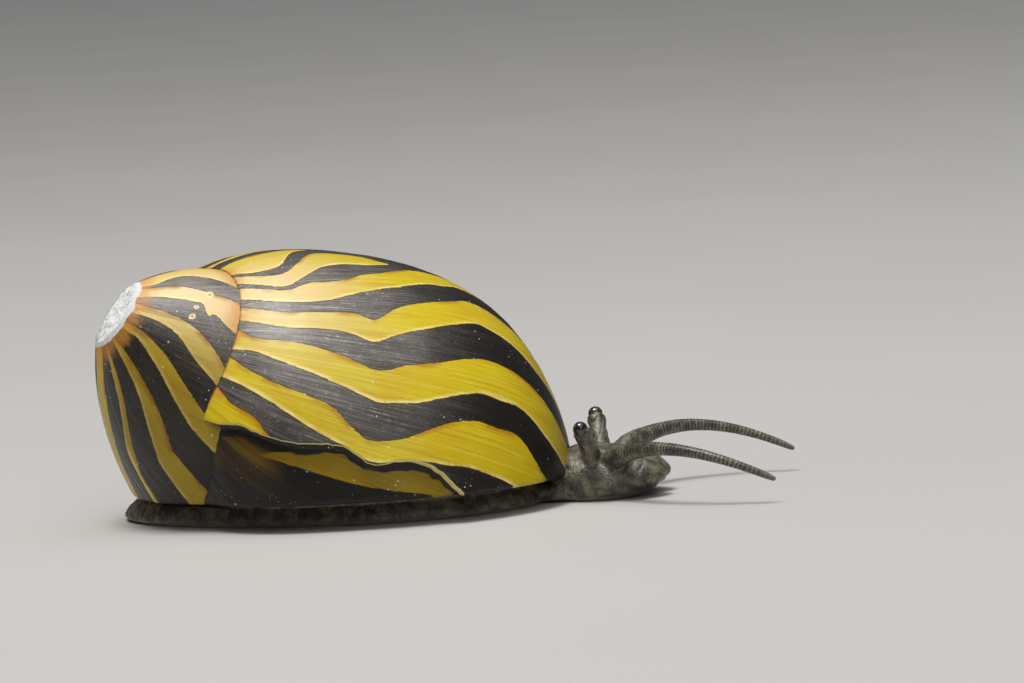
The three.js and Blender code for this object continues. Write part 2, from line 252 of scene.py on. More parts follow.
@dataclass(frozen=True)
class Coil:
    """The shell's growth law, in millimetres and degrees, as the solids have it."""

    tip: Triple = (-11.16, -5.79, 11.92)
    rise: float = 38.1
    swing: float = 35.2
    spin: float = 4.4
    turn_growth: float = 1.923
    half_long: float = 15.25
    half_short: float = 13.8
    tilt: float = -75.15
    from_axis: float = 0.65
    from_tip: float = 21.3
    squareness: float = -0.076
    drop: float = 1.88
    drop_start: float = -68.8
    drop_end: float = -2.3
    lip_at_seam: float = -54.0
    lip_sweep: float = 32.0
    lip_sweep_angle: float = 59.0
    lip_notch_angles: tuple[float, ...] = (7, 13, 17, 21, 26, 31, 38, 42, 45, 50, 54, 57, 63, 70)
    lip_notches: tuple[float, ...] = (
        -1.0, -2.2, -3.5, -2.0, -0.6, 0.1, -0.6, -0.3, 1.2, 3.0, 0.9, -0.5, -1.3, 0.0,
    )
    lip_law_reach: tuple[float, float] = (-0.4, 2.0)
    lip_waver: float = 0.16
    lip_waver_waves: Triple = (1.93, 0.6, 0.37)
    set_in: float = 0.042
    worn_radius: float = 1.52
    worn_depth: float = 1.84
    worn_lean: float = 0.2
    worn_deepest: float = -275.0
    worn_bite: float = 0.05
    seam_angle: float = 7.0
    seam_under: float = 43.97
    seam_start: float = -400.0
    seam_end: float = -160.0
    seam_reach: float = 37.0
    tuck: float = 0.01
    heart_depth: float = 15.0

    @property
    def axis(self) -> np.ndarray:
        """The direction from the coil towards its tip."""
        rise, swing = math.radians(self.rise), math.radians(self.swing)
        level = math.cos(rise)
        return np.array([-level * math.cos(swing), -level * math.sin(swing), math.sin(rise)])

    def from_tip_axis(self, radius: np.ndarray, depth: np.ndarray, turn: np.ndarray) -> np.ndarray:
        """Places points by radius from the axis, depth below the tip and turn angle.

        Args:
            radius: Distances from the axis in millimetres.
            depth: Depths below the ideal tip in millimetres.
            turn: Turn angles in degrees.

        Returns:
            The points in metres.
        """
        axis = self.axis
        up_across = np.array([0.0, 0.0, 1.0]) - axis * axis[2]
        up_across /= np.linalg.norm(up_across)
        side_across = np.cross(axis, up_across)
        around = np.radians(self.spin - 180.0 - turn)
        spots = (
            np.array(self.tip)
            + np.multiply.outer(radius * np.cos(around), up_across)
            + np.multiply.outer(radius * np.sin(around), side_across)
            - np.multiply.outer(depth * np.ones_like(around), axis)
        )
        return spots * MM

    def plain_section(
        self, turn: np.ndarray, angle: np.ndarray, shrink: np.ndarray | float = 0.0
    ) -> np.ndarray:
        """Gives the plain whorl's radius and depth.

        Args:
            turn: Turn angles in degrees.
            angle: Angles round the whorl's oval in degrees.
            shrink: Shares by which the oval is smaller.

        Returns:
            The radius from the axis and the depth below the tip, in millimetres, side by side.
        """
        around = np.radians(angle)
        square = (1 + self.squareness * np.sin(2 * around) ** 2) * (1 - shrink)
        long = self.half_long * np.cos(around) * square
        short = self.half_short * np.sin(around) * square
        tilt = math.radians(self.tilt)
        size = self.turn_growth ** (turn / 360.0)
        drop = self.drop * smooth_share(turn, self.drop_start, self.drop_end)
        radius = self.from_axis + long * math.cos(tilt) - short * math.sin(tilt)
        depth = self.from_tip + long * math.sin(tilt) + short * math.cos(tilt)
        return np.stack([size * radius, size * depth + drop], axis=-1)

    def under_seam(self, turn: np.ndarray) -> np.ndarray:
        """Gives the angle of the whorl before at which the seam covers it."""
        share = smooth_share(turn, self.seam_start, self.seam_end)
        return self.seam_angle + (self.seam_under - self.seam_angle) * share

    def worn_edge(self, turn: np.ndarray) -> np.ndarray:
        """Gives the radius and depth of the worn flat's edge."""
        deeper = self.worn_lean * (1 + np.cos(np.radians(turn - self.worn_deepest)))
        return np.stack([np.full_like(turn, self.worn_radius), self.worn_depth + deeper], axis=-1)

    def seam(self, turn: np.ndarray) -> np.ndarray:
        """Gives the seam's radius and depth: the worn edge at first, then on the whorl before."""
        place = self.worn_edge(turn)
        wound = turn > self.seam_start
        if wound.any():
            place[wound] = self.section(turn[wound] - 360.0, self.under_seam(turn[wound]))
        return place

    def section(
        self, turn: np.ndarray, angle: np.ndarray, shrink: np.ndarray | float = 0.0
    ) -> np.ndarray:
        """Gives the whorl's radius and depth, drawn to the seam above and tucked in below.

        Args:
            turn: Turn angles in degrees.
            angle: Angles round the whorl's oval in degrees.
            shrink: Shares by which the oval is smaller.

        Returns:
            The radius from the axis and the depth below the tip, in millimetres, side by side.
        """
        turn, angle = np.broadcast_arrays(np.asarray(turn, float), np.asarray(angle, float))
        place = self.plain_section(turn, angle, shrink)
        pull = np.maximum(1 - (angle - self.seam_angle) / self.seam_reach, 0.0)
        drawn = (turn < self.seam_end) & (pull > 0)
        if drawn.any():
            near = turn[drawn]
            shift = self.seam(near) - self.plain_section(near, np.full_like(near, self.seam_angle))
            place[drawn] += shift * pull[drawn][..., None] ** 2
        covered = np.where(turn + 360.0 < self.seam_end, angle - self.under_seam(turn + 360.0), 0.0)
        inwards = self.tuck * np.maximum(covered, 0.0)[..., None]
        return place + (np.array([0.0, self.heart_depth]) - place) * inwards

    def surface(
        self, turn: np.ndarray, angle: np.ndarray, shrink: np.ndarray | float = 0.0
    ) -> np.ndarray:
        """Gives the whorl's surface points in metres at turn angles and angles round the oval."""
        place = self.section(turn, angle, shrink)
        return self.from_tip_axis(np.maximum(place[..., 0], 0.0), place[..., 1], turn)

    def worn_plane(self) -> tuple[np.ndarray, np.ndarray]:
        """Gives the middle of the worn flat in metres and the direction that it faces."""
        nothing = np.array(0.0)
        deepest = np.array(self.worn_deepest)
        middle_depth = np.array(self.worn_depth + self.worn_lean + self.worn_bite)
        middle = self.from_tip_axis(nothing, middle_depth, nothing)
        down = self.from_tip_axis(np.array(1.0), nothing, deepest) / MM - np.array(self.tip)
        facing = self.axis + down * self.worn_lean / self.worn_radius
        return middle, facing / np.linalg.norm(facing)

    def plain_lip(self, angle: np.ndarray) -> np.ndarray:
        """Gives the turn angle of the old lip before it broke, at angles round the oval."""
        share = np.clip((angle - self.seam_angle) / self.lip_sweep_angle, *self.lip_law_reach)
        return self.lip_at_seam - self.lip_sweep * np.sin(math.pi / 2 * share)

    def old_lip(self, angle: np.ndarray) -> np.ndarray:
        """Gives the turn angle of the old broken lip at angles round the oval."""
        notch = flowing(angle, self.lip_notch_angles, self.lip_notches)
        quick, offset, slow = self.lip_waver_waves
        waver = self.lip_waver * np.sin(angle * quick + offset) * np.sin(angle * slow)
        return self.plain_lip(angle) + notch + waver


@dataclass(frozen=True)
class Stripe:
    """One dark stripe: the turn angles of its two edges at stations down the whorl, in degrees."""

    stations: tuple[float, ...]
    early: tuple[float, ...]
    late: tuple[float, ...]

    def edges(self, angle: np.ndarray) -> tuple[np.ndarray, np.ndarray]:
        """Gives the turn angles at which the stripe begins and ends."""
        early = flowing(angle, self.stations, self.early)
        late = flowing(angle, self.stations, self.late)
        return early, late


@dataclass(frozen=True)
class Glow:
    """A patch that is strongest at one turn and, where it has ends, fades down the whorl."""

    middle: float
    spread: float
    ends: tuple[float, float] | None = None

    def strength(self, turn: np.ndarray, angle: np.ndarray) -> np.ndarray:
        """Gives how strong the patch is, from 0 to 1."""
        across = swell(turn, 1.0, self.middle, self.spread)
        return across * (1 - smooth_share(angle, *self.ends)) if self.ends else across


SPIRE_STATIONS = (7.0, 12.0, 20.0, 32.0, 44.0)
WHORL_STATIONS = (7, 12, 20, 25, 30, 36, 42, 46, 50, 55, 60, 65, 70, 75, 80, 90, 110)


@dataclass(frozen=True)
class Pattern:
    """The shell's markings, placed by turn angle and angle round the whorl, in degrees.

    A field with two angles or turns says where something begins and where it is whole, and one
    with four says that and then where it fades and where it is gone.
    """

    coil: Coil = Coil()
    spire: tuple[Stripe, ...] = (
        Stripe(SPIRE_STATIONS, (-562, -565, -568, -560, -552), (-537, -536, -535, -540, -538)),
        Stripe(SPIRE_STATIONS, (-505, -502, -512, -507, -497), (-496, -495, -494, -487, -483)),
        Stripe(
            (7.0, 12.0, 20.0, 26.0, 29.3, 30.8, 33.0, 38.0, 44.0),
            (-476, -478, -478, -477, -475, -468, -470, -466, -462),
            (-464, -463, -461, -458, -456, -455, -453, -449, -444),
        ),
        Stripe(SPIRE_STATIONS, (-443, -448, -448, -437, -432), (-431, -436, -433, -425, -420)),
        Stripe(SPIRE_STATIONS, (-412, -421, -418, -411, -407), (-400, -406, -406, -401, -394)),
        Stripe(SPIRE_STATIONS, (-388, -392, -393, -386, -380), (-379, -384, -381, -371, -365)),
        Stripe(SPIRE_STATIONS, (-371, -372, -371, -362, -361), (-362, -358, -354, -349, -346)),
    )
    whorl: tuple[Stripe, ...] = (
        Stripe(
            WHORL_STATIONS,
            (
                -154, -148, -150, -161, -168, -171, -172, -171, -168, -168, -168, -168, -168, -168,
                -168, -168, -168,
            ),
            (
                -150, -144, -142.5, -151, -160, -163, -163, -162, -159, -156, -158, -160, -161,
                -161, -161, -161, -161,
            ),
        ),
        Stripe(
            WHORL_STATIONS,
            (
                -141.7, -136, -133, -139.7, -146.5, -150.5, -152, -153, -155, -158, -161, -163,
                -165, -167, -168, -168, -168,
            ),
            (
                -136.5, -132.4, -130.2, -134.5, -136, -139.5, -144.5, -146.5, -149.5, -153, -156,
                -158, -160, -160.5, -161, -161, -160,
            ),
        ),
        Stripe(
            WHORL_STATIONS,
            (
                -126.7, -124, -122.9, -124, -126.3, -131, -135.2, -137.9, -140, -143.5, -146.5,
                -148.6, -152, -153, -153, -152, -150,
            ),
            (
                -120.5, -118, -117.1, -118.6, -120.3, -122.2, -121.9, -127, -131, -134.2, -137.4,
                -140.4, -144, -145, -144.5, -144, -143,
            ),
        ),
        Stripe(
            WHORL_STATIONS,
            (
                -111.4, -110.2, -110, -111.5, -113, -113.8, -113.4, -117, -120.3, -123.6, -127.2,
                -130.7, -133.8, -134.2, -134, -131, -127,
            ),
            (
                -105.4, -102.2, -103.7, -104.5, -104.8, -104.9, -104.2, -105.6, -108.8, -111.7,
                -114.7, -118.2, -121, -122.4, -123.2, -122.3, -116,
            ),
        ),
        Stripe(
            WHORL_STATIONS,
            (
                -93.6, -95.5, -95.2, -95.3, -95.4, -95.4, -95.5, -95.7, -97.7, -100.2, -103.9,
                -107.6, -110.7, -111.8, -113.2, -111.3, -108,
            ),
            (
                -89.5, -87.3, -86.6, -87.2, -88, -88.2, -85.7, -85, -86.8, -90.6, -95.8, -100.2,
                -103.1, -104.2, -105.8, -102.3, -98,
            ),
        ),
        Stripe(
            WHORL_STATIONS,
            (
                -78.5, -79.5, -80, -79.8, -79.6, -79.8, -80.2, -80, -81, -84, -87.3, -89.3, -91.5,
                -92.9, -93.9, -94, -92,
            ),
            (
                -73, -71, -72, -70, -70, -70, -70, -70, -70, -70, -70, -70, -70, -70, -70, -70, -70,
            ),
        ),
    )
    kink: tuple[float, ...] = (0, 2, 1, 1, 0, -1, -1, -4, -7, -11, -15, -19, -22, -23, -24, -23, -21)
    line_lean: float = 0.26
    dark_share: float = 0.5
    first_seed: int = 11
    jitter: tuple[float, float] = (1.6, 1.8)
    first_turn: float = -760.0
    last_drawn_turn: float = -586.0
    spire_gap: float = 29.0
    spire_lean: float = 18.0
    spire_lean_angle: float = 38.0
    spire_lean_most: float = 1.6
    far_turns: tuple[float, float] = (-338.0, -168.0)
    far_gaps: tuple[float, float] = (25.0, 14.0)
    far_bend: float = 1.5
    band_stations: tuple[float, ...] = (20, 24, 28, 34, 39, 44, 47, 50, 53, 57, 61, 66, 72)
    band_begins: tuple[float, ...] = (
        5.6, 4.2, 3.0, 1.7, 1.2, 1.5, 2.6, 4.2, 3.4, 1.8, 0.2, -0.9, -0.6,
    )
    band_ends: tuple[float, ...] = (4.6, 5.4, 6.0, 7.2, 8.0, 8.5, 8.6, 8.5, 8.1, 7.2, 5.8, 3.9, 2.6)
    amber_past: tuple[float, ...] = (2.5, 5.0, 9.0, 20.0)
    amber_ends: tuple[float, float] = (18.0, 28.0)
    amber_lean: float = 0.5
    # Painted highlight: the yellow pales at the top of the last whorl and on the spire.
    highlight_top: Glow = Glow(-132.0, 26.0, (14.0, 52.0))
    highlight_spire: Glow = Glow(-490.0, 44.0)
    # Painted sheen, with some grey wear: the dark stripes lighten to grey, most at the top of the last whorl
    # and on the spire.
    silver_top: Glow = Glow(-118.0, 34.0, (20.0, 70.0))
    silver_spire: Glow = Glow(-492.0, 36.0)
    silver_low: float = 0.10
    silver_low_ends: tuple[float, float] = (40.0, 80.0)
    glow_share: float = 0.9
    # Painted shade: a dull darkening on part of the spire, the earlier part of the last whorl and the
    # whorls' undersides.
    film_spire: tuple[float, ...] = (-476.0, -420.0, -366.0, -360.0)
    film_back: tuple[float, ...] = (150.0, 200.0, 330.0, 360.0)
    film_low: tuple[float, float] = (72.0, 104.0)
    film_shares: Triple = (0.9, 0.3, 0.5)
    least_radius: float = 0.4

    def drawn(self, start: float, width: float, bend: float, seed: int) -> Stripe:
        """Draws a stripe for a side that no view fixes, by the same law as its neighbours.

        Args:
            start: The turn angle of its early edge at the seam.
            width: Its width in degrees.
            bend: 0 for the spire's forward lean, 1 for the last whorl's kink.
            seed: Picks its own small irregularities.

        Returns:
            The stripe.
        """
        draw = np.random.default_rng(seed)
        stations = np.array(WHORL_STATIONS)
        down = np.clip((stations - WHORL_STATIONS[0]) / self.spire_lean_angle, 0, self.spire_lean_most)
        middle = start + (1 - bend) * self.spire_lean * down + bend * np.array(self.kink)
        early, late = (
            middle + offset + draw.uniform(-jitter, jitter, stations.size)
            for offset, jitter in zip((0, width), self.jitter)
        )
        return Stripe(WHORL_STATIONS, tuple(early), tuple(late))

    def stripes(self) -> list[Stripe]:
        """Lists all the dark stripes of the shell, from the tip to the old lip."""
        found = list(self.spire) + list(self.whorl)
        seeds = itertools.count(self.first_seed)
        for start in np.arange(self.first_turn, self.last_drawn_turn, self.spire_gap):
            width = self.dark_share * self.spire_gap
            found.append(self.drawn(start, width, 0.0, next(seeds)))
        first, last = self.far_turns
        wide, narrow = self.far_gaps
        start = first
        while start < last:
            share = (start - first) / (last - first)
            gap = wide - (wide - narrow) * share
            bend = min(1.0, self.far_bend * share)
            found.append(self.drawn(start, self.dark_share * gap, bend, next(seeds)))
            start += gap
        return found

    def millimetres(self, turn: np.ndarray, angle: np.ndarray) -> np.ndarray:
        """Gives the length of one degree of turn on the surface, in millimetres."""
        radius = self.coil.section(turn, angle)[..., 0]
        return np.radians(1.0) * np.maximum(radius, self.least_radius)

    def darkness(self, turn: np.ndarray, angle: np.ndarray) -> dict[str, np.ndarray]:
        """Places points among the dark stripes.

        Args:
            turn: Turn angles in degrees.
            angle: Angles round the oval in degrees.

        Returns:
            In millimetres, how far inside a dark stripe each point lies, and how far it is from
            the nearest edge where a stripe begins and from the nearest where one ends.
        """
        found = {"dark": np.full_like(turn, -FAR)}
        found.update(begins=np.full_like(turn, FAR), ends=np.full_like(turn, FAR))
        for stripe in self.stripes():
            early, late = stripe.edges(angle)
            found["dark"] = np.maximum(found["dark"], np.minimum(turn - early, late - turn))
            for name, edge in (("begins", early), ("ends", late)):
                gap = np.where(late > early, np.abs(turn - edge), FAR)
                found[name] = np.minimum(found[name], gap)
        length = self.millimetres(turn, angle)
        return {name: value * length for name, value in found.items()}

    def regrown_darkness(self, turn: np.ndarray, angle: np.ndarray) -> np.ndarray:
        """Gives how far a place on the regrown shell lies outside its pale band, in millimetres."""
        past = turn - self.coil.plain_lip(angle)
        begins = flowing(angle, self.band_stations, self.band_begins)
        ends = flowing(angle, self.band_stations, self.band_ends)
        return -np.minimum(past - begins, ends - past) * self.millimetres(turn, angle)

    def amber(self, turn: np.ndarray, angle: np.ndarray) -> np.ndarray:
        """Gives how far the regrown shell's start is darkened to brown, from 0 to 1: partly its own brown,
        partly painted shade.
        """
        past = turn - self.coil.old_lip(angle)
        leaning = angle - self.amber_lean * past
        return stretch_share(past, *self.amber_past) * (1 - smooth_share(leaning, *self.amber_ends))

    def highlight_paling(self, turn: np.ndarray, angle: np.ndarray) -> np.ndarray:
        """Gives how far a painted highlight pales the yellow, from 0 to 1."""
        top = self.glow_share * self.highlight_top.strength(turn, angle)
        return np.clip(top + self.highlight_spire.strength(turn, angle), 0.0, 1.0)

    def film(self, turn: np.ndarray, angle: np.ndarray) -> np.ndarray:
        """Gives how strongly a painted shade darkens the shell, from 0 to 1: on part of the spire, on the
        earlier part of the last whorl and towards the whorls' undersides.
        """
        places = (
            stretch_share(turn, *self.film_spire),
            stretch_share(-turn, *self.film_back),
            smooth_share(angle, *self.film_low),
        )
        whole = sum(share * place for share, place in zip(self.film_shares, places))
        return np.clip(whole, 0.0, 1.0)

    def silver(self, turn: np.ndarray, angle: np.ndarray) -> np.ndarray:
        """Gives how strongly a painted sheen with some grey wear lightens the dark stripes, from 0 to 1."""
        glow = np.maximum(
            self.silver_top.strength(turn, angle), self.silver_spire.strength(turn, angle)
        )
        low = self.silver_low * (1 - smooth_share(angle, *self.silver_low_ends))
        return np.clip(low + self.glow_share * glow, 0.0, 1.0)


class Fade(NamedTuple):
    """How a result goes from start to end, eased, as a value goes from low to high."""

    low: float
    high: float
    start: float = 0.0
    end: float = 1.0


class Mottle(NamedTuple):
    """Soft patches: a noise's scale per millimetre and detail, and the fade that makes shares."""

    scale: float
    detail: float
    low: float
    high: float
    start: float = 0.0
    end: float = 1.0


class Wiring:
    """Places and joins the nodes of one node tree."""

    def __init__(self, tree: Tree) -> None:
        """Keeps the tree that the nodes go into."""
        self.tree = tree

    def feed(self, node: Node, inputs: dict) -> None:
        """Joins a node's inputs to other sockets or sets their values, by name or number."""
        for key, value in inputs.items():
            if isinstance(value, Socket):
                self.tree.links.new(value, node.inputs[key])
            else:
                node.inputs[key].default_value = value

    def node(self, kind: str, inputs: dict | None = None, **settings: object) -> Node:
        """Adds a node.

        Args:
            kind: The node's type.
            inputs: Its inputs by name or number, each a value or another node's socket.
            **settings: Its other settings.

        Returns:
            The node.
        """
        made = self.tree.nodes.new(kind)
        for name, setting in settings.items():
            setattr(made, name, setting)
        self.feed(made, inputs or {})
        return made

    def math(self, operation: str, first: object, second: object = 0.0) -> Socket:
        """Gives the result of a sum on two numbers."""
        return self.node("ShaderNodeMath", {0: first, 1: second}, operation=operation).outputs[0]

    def times(self, first: object, second: object) -> Socket:
        """Multiplies two numbers."""
        return self.math("MULTIPLY", first, second)

    def plus(self, first: object, second: object) -> Socket:
        """Adds two numbers."""
        return self.math("ADD", first, second)

    def minus(self, first: object, second: object) -> Socket:
        """Takes the second number from the first."""
        return self.math("SUBTRACT", first, second)

    def over(self, first: object, second: object) -> Socket:
        """Divides the first number by the second."""
        return self.math("DIVIDE", first, second)

    def fade(self, value: object, fade: Fade) -> Socket:
        """Turns a value into a share by a fade."""
        names = ("From Min", "From Max", "To Min", "To Max")
        inputs = {"Value": value, **dict(zip(names, fade))}
        made = self.node("ShaderNodeMapRange", inputs, interpolation_type="SMOOTHSTEP")
        return made.outputs["Result"]

    def blend(self, share: object, first: object, second: object, mode: str = "MIX") -> Socket:
        """Mixes two colours."""
        # A mix node's colour sockets share their names with others, so they go by number.
        inputs = {0: share, 6: first, 7: second}
        return self.node("ShaderNodeMix", inputs, data_type="RGBA", blend_type=mode).outputs[2]

    def noise(self, where: object, scale: float, detail: float = 2.0) -> Socket:
        """Gives soft noise from 0 to 1 at a place."""
        inputs = {"Vector": where, "Scale": scale, "Detail": detail}
        return self.node("ShaderNodeTexNoise", inputs).outputs[0]

    def mottle(self, where: object, mottle: Mottle) -> Socket:
        """Gives soft patches at a place."""
        return self.fade(self.noise(where, mottle.scale, mottle.detail), Fade(*mottle[2:]))

    def value_of(self, name: str) -> Socket:
        """Reads a number stored on the vertices."""
        return self.node("ShaderNodeAttribute", attribute_name=name).outputs["Fac"]

    def vector(self, operation: str, inputs: dict) -> Socket:
        """Gives the vector that a sum on vectors results in."""
        return self.node("ShaderNodeVectorMath", inputs, operation=operation).outputs[0]

    def place_mm(self) -> Socket:
        """Gives the place on the object in millimetres."""
        where = self.node("ShaderNodeTexCoord").outputs["Object"]
        return self.vector("SCALE", {0: where, "Scale": 1 / MM})

    def group(self, tree: Tree, inputs: dict) -> Node:
        """Places a shared effect."""
        made = self.tree.nodes.new("ShaderNodeGroup")
        made.node_tree = tree
        self.feed(made, inputs)
        return made

    def relief(self, shader: Node, height: object, strength: float, depth: float) -> None:
        """Gives a shader a relief, with its depth in millimetres."""
        inputs = {"Height": height, "Strength": strength, "Distance": depth * MM}
        self.feed(shader, {"Normal": self.node("ShaderNodeBump", inputs).outputs[0]})


class SharedEffect:
    """A node group with named inputs and outputs, built once."""

    def __init__(self, name: str, inputs: dict[str, str], outputs: dict[str, str]) -> None:
        """Makes the group and its sockets.

        Args:
            name: The group's name.
            inputs: Socket kinds of its inputs by name.
            outputs: Socket kinds of its outputs by name.
        """
        self.tree = bpy.data.node_groups.new(name, "ShaderNodeTree")
        for way, sockets in (("INPUT", inputs), ("OUTPUT", outputs)):
            for label, kind in sockets.items():
                self.tree.interface.new_socket(label, in_out=way, socket_type=kind)
        self.wiring = Wiring(self.tree)
        self.given = self.tree.nodes.new("NodeGroupInput").outputs
        self.exit = self.tree.nodes.new("NodeGroupOutput")

    def give(self, **results: Socket) -> None:
        """Joins results to the group's outputs of the same names."""
        self.wiring.feed(self.exit, results)


NUMBER = "NodeSocketFloat"
VECTOR = "NodeSocketVector"


def growth_lines_effect() -> Tree:
    """Builds fine and broad lines that run across the direction of growth."""
    effect = SharedEffect(
        "growth_lines",
        {"Growth": NUMBER, "Along": NUMBER, "Spacing": NUMBER},
        {"Fine": NUMBER, "Hair": NUMBER, "Broad": NUMBER},
    )
    wiring = effect.wiring
    growth = wiring.over(effect.given["Growth"], effect.given["Spacing"])
    layers = {"Hair": (1.9, 0.05, 0.0), "Fine": (0.8, 0.035, 2.0), "Broad": (0.13, 0.015, 4.0)}
    for name, (across, down, layer) in layers.items():
        x = wiring.times(growth, across)
        y = wiring.times(effect.given["Along"], down)
        spot = wiring.node("ShaderNodeCombineXYZ", {0: x, 1: y, 2: layer}).outputs[0]
        effect.give(**{name: wiring.noise(spot, 1.0)})
    return effect.tree


def specks_effect() -> Tree:
    """Builds sparse small specks, such as grit or pigment dots."""
    effect = SharedEffect(
        "specks", {"Place": VECTOR, "Scale": NUMBER, "Size": NUMBER}, {"Specks": NUMBER}
    )
    wiring = effect.wiring
    region_scale, region_level = 0.9, 0.56
    where = effect.given["Place"]
    cells = wiring.node("ShaderNodeTexVoronoi", {"Vector": where, "Scale": effect.given["Scale"]})
    chosen = wiring.math("GREATER_THAN", wiring.noise(where, region_scale), region_level)
    close = wiring.math("LESS_THAN", cells.outputs["Distance"], effect.given["Size"])
    effect.give(Specks=wiring.times(chosen, close))
    return effect.tree


def ring_mark_effect() -> Tree:
    """Builds one small ring and its middle, where something once sat on the shell."""
    effect = SharedEffect(
        "ring_mark",
        {"Place": VECTOR, "Centre": VECTOR, "Radius": NUMBER},
        {"Ring": NUMBER, "Middle": NUMBER},
    )
    wiring = effect.wiring
    bend_scale, bend_reach = 6.0, 0.12
    where = effect.given["Place"]
    bent = wiring.node("ShaderNodeTexNoise", {"Vector": where, "Scale": bend_scale})
    nudge = wiring.vector("SCALE", {0: bent.outputs["Color"], "Scale": bend_reach})
    moved = wiring.vector("ADD", {0: where, 1: nudge})
    gap = wiring.node(
        "ShaderNodeVectorMath", {0: moved, 1: effect.given["Centre"]}, operation="DISTANCE"
    )
    share = wiring.over(gap.outputs["Value"], effect.given["Radius"])
    away = wiring.math("ABSOLUTE", wiring.minus(share, 1.0))
    effect.give(
        Ring=wiring.fade(away, Fade(0.25, 0.55, 1.0, 0.0)),
        Middle=wiring.fade(share, Fade(0.5, 0.9, 1.0, 0.0)),
    )
    return effect.tree


class EffectShelf:
    """The shared effects that the finishes draw on."""

    def __init__(self) -> None:
        """Builds every shared effect once."""
        self.growth_lines = growth_lines_effect()
        self.specks = specks_effect()
        self.ring_mark = ring_mark_effect()


def new_material(name: str) -> tuple[Material, Wiring, Node]:
    """Makes an empty node material.

    Args:
        name: The material's name.

    Returns:
        The material, the wiring of its tree and its main shader.
    """
    material = bpy.data.materials.new(name)
    material.use_nodes = True
    tree = material.node_tree
    return material, Wiring(tree), tree.nodes["Principled BSDF"]


def speckled(
    wiring: Wiring,
    colour: Socket,
    where: Socket,
    effect: Tree,
    sets: tuple[Triple, ...],
    tint: Colour,
    share: object = 1.0,
) -> Socket:
    """Wires sets of small specks over a colour.

    Args:
        wiring: The material's wiring.
        colour: The colour under the specks.
        where: The place in millimetres.
        effect: The shared specks.
        sets: Each set's number per millimetre, size as a share of its spacing, and strength.
        tint: The specks' colour.
        share: Where the specks show, from 0 to 1.

    Returns:
        The colour with its specks.
    """
    for scale, size, strength in sets:
        specks = wiring.group(effect, {"Place": where, "Scale": scale, "Size": size})
        shown = wiring.times(specks.outputs["Specks"], wiring.times(share, strength))
        colour = wiring.blend(shown, colour, tint)
    return colour


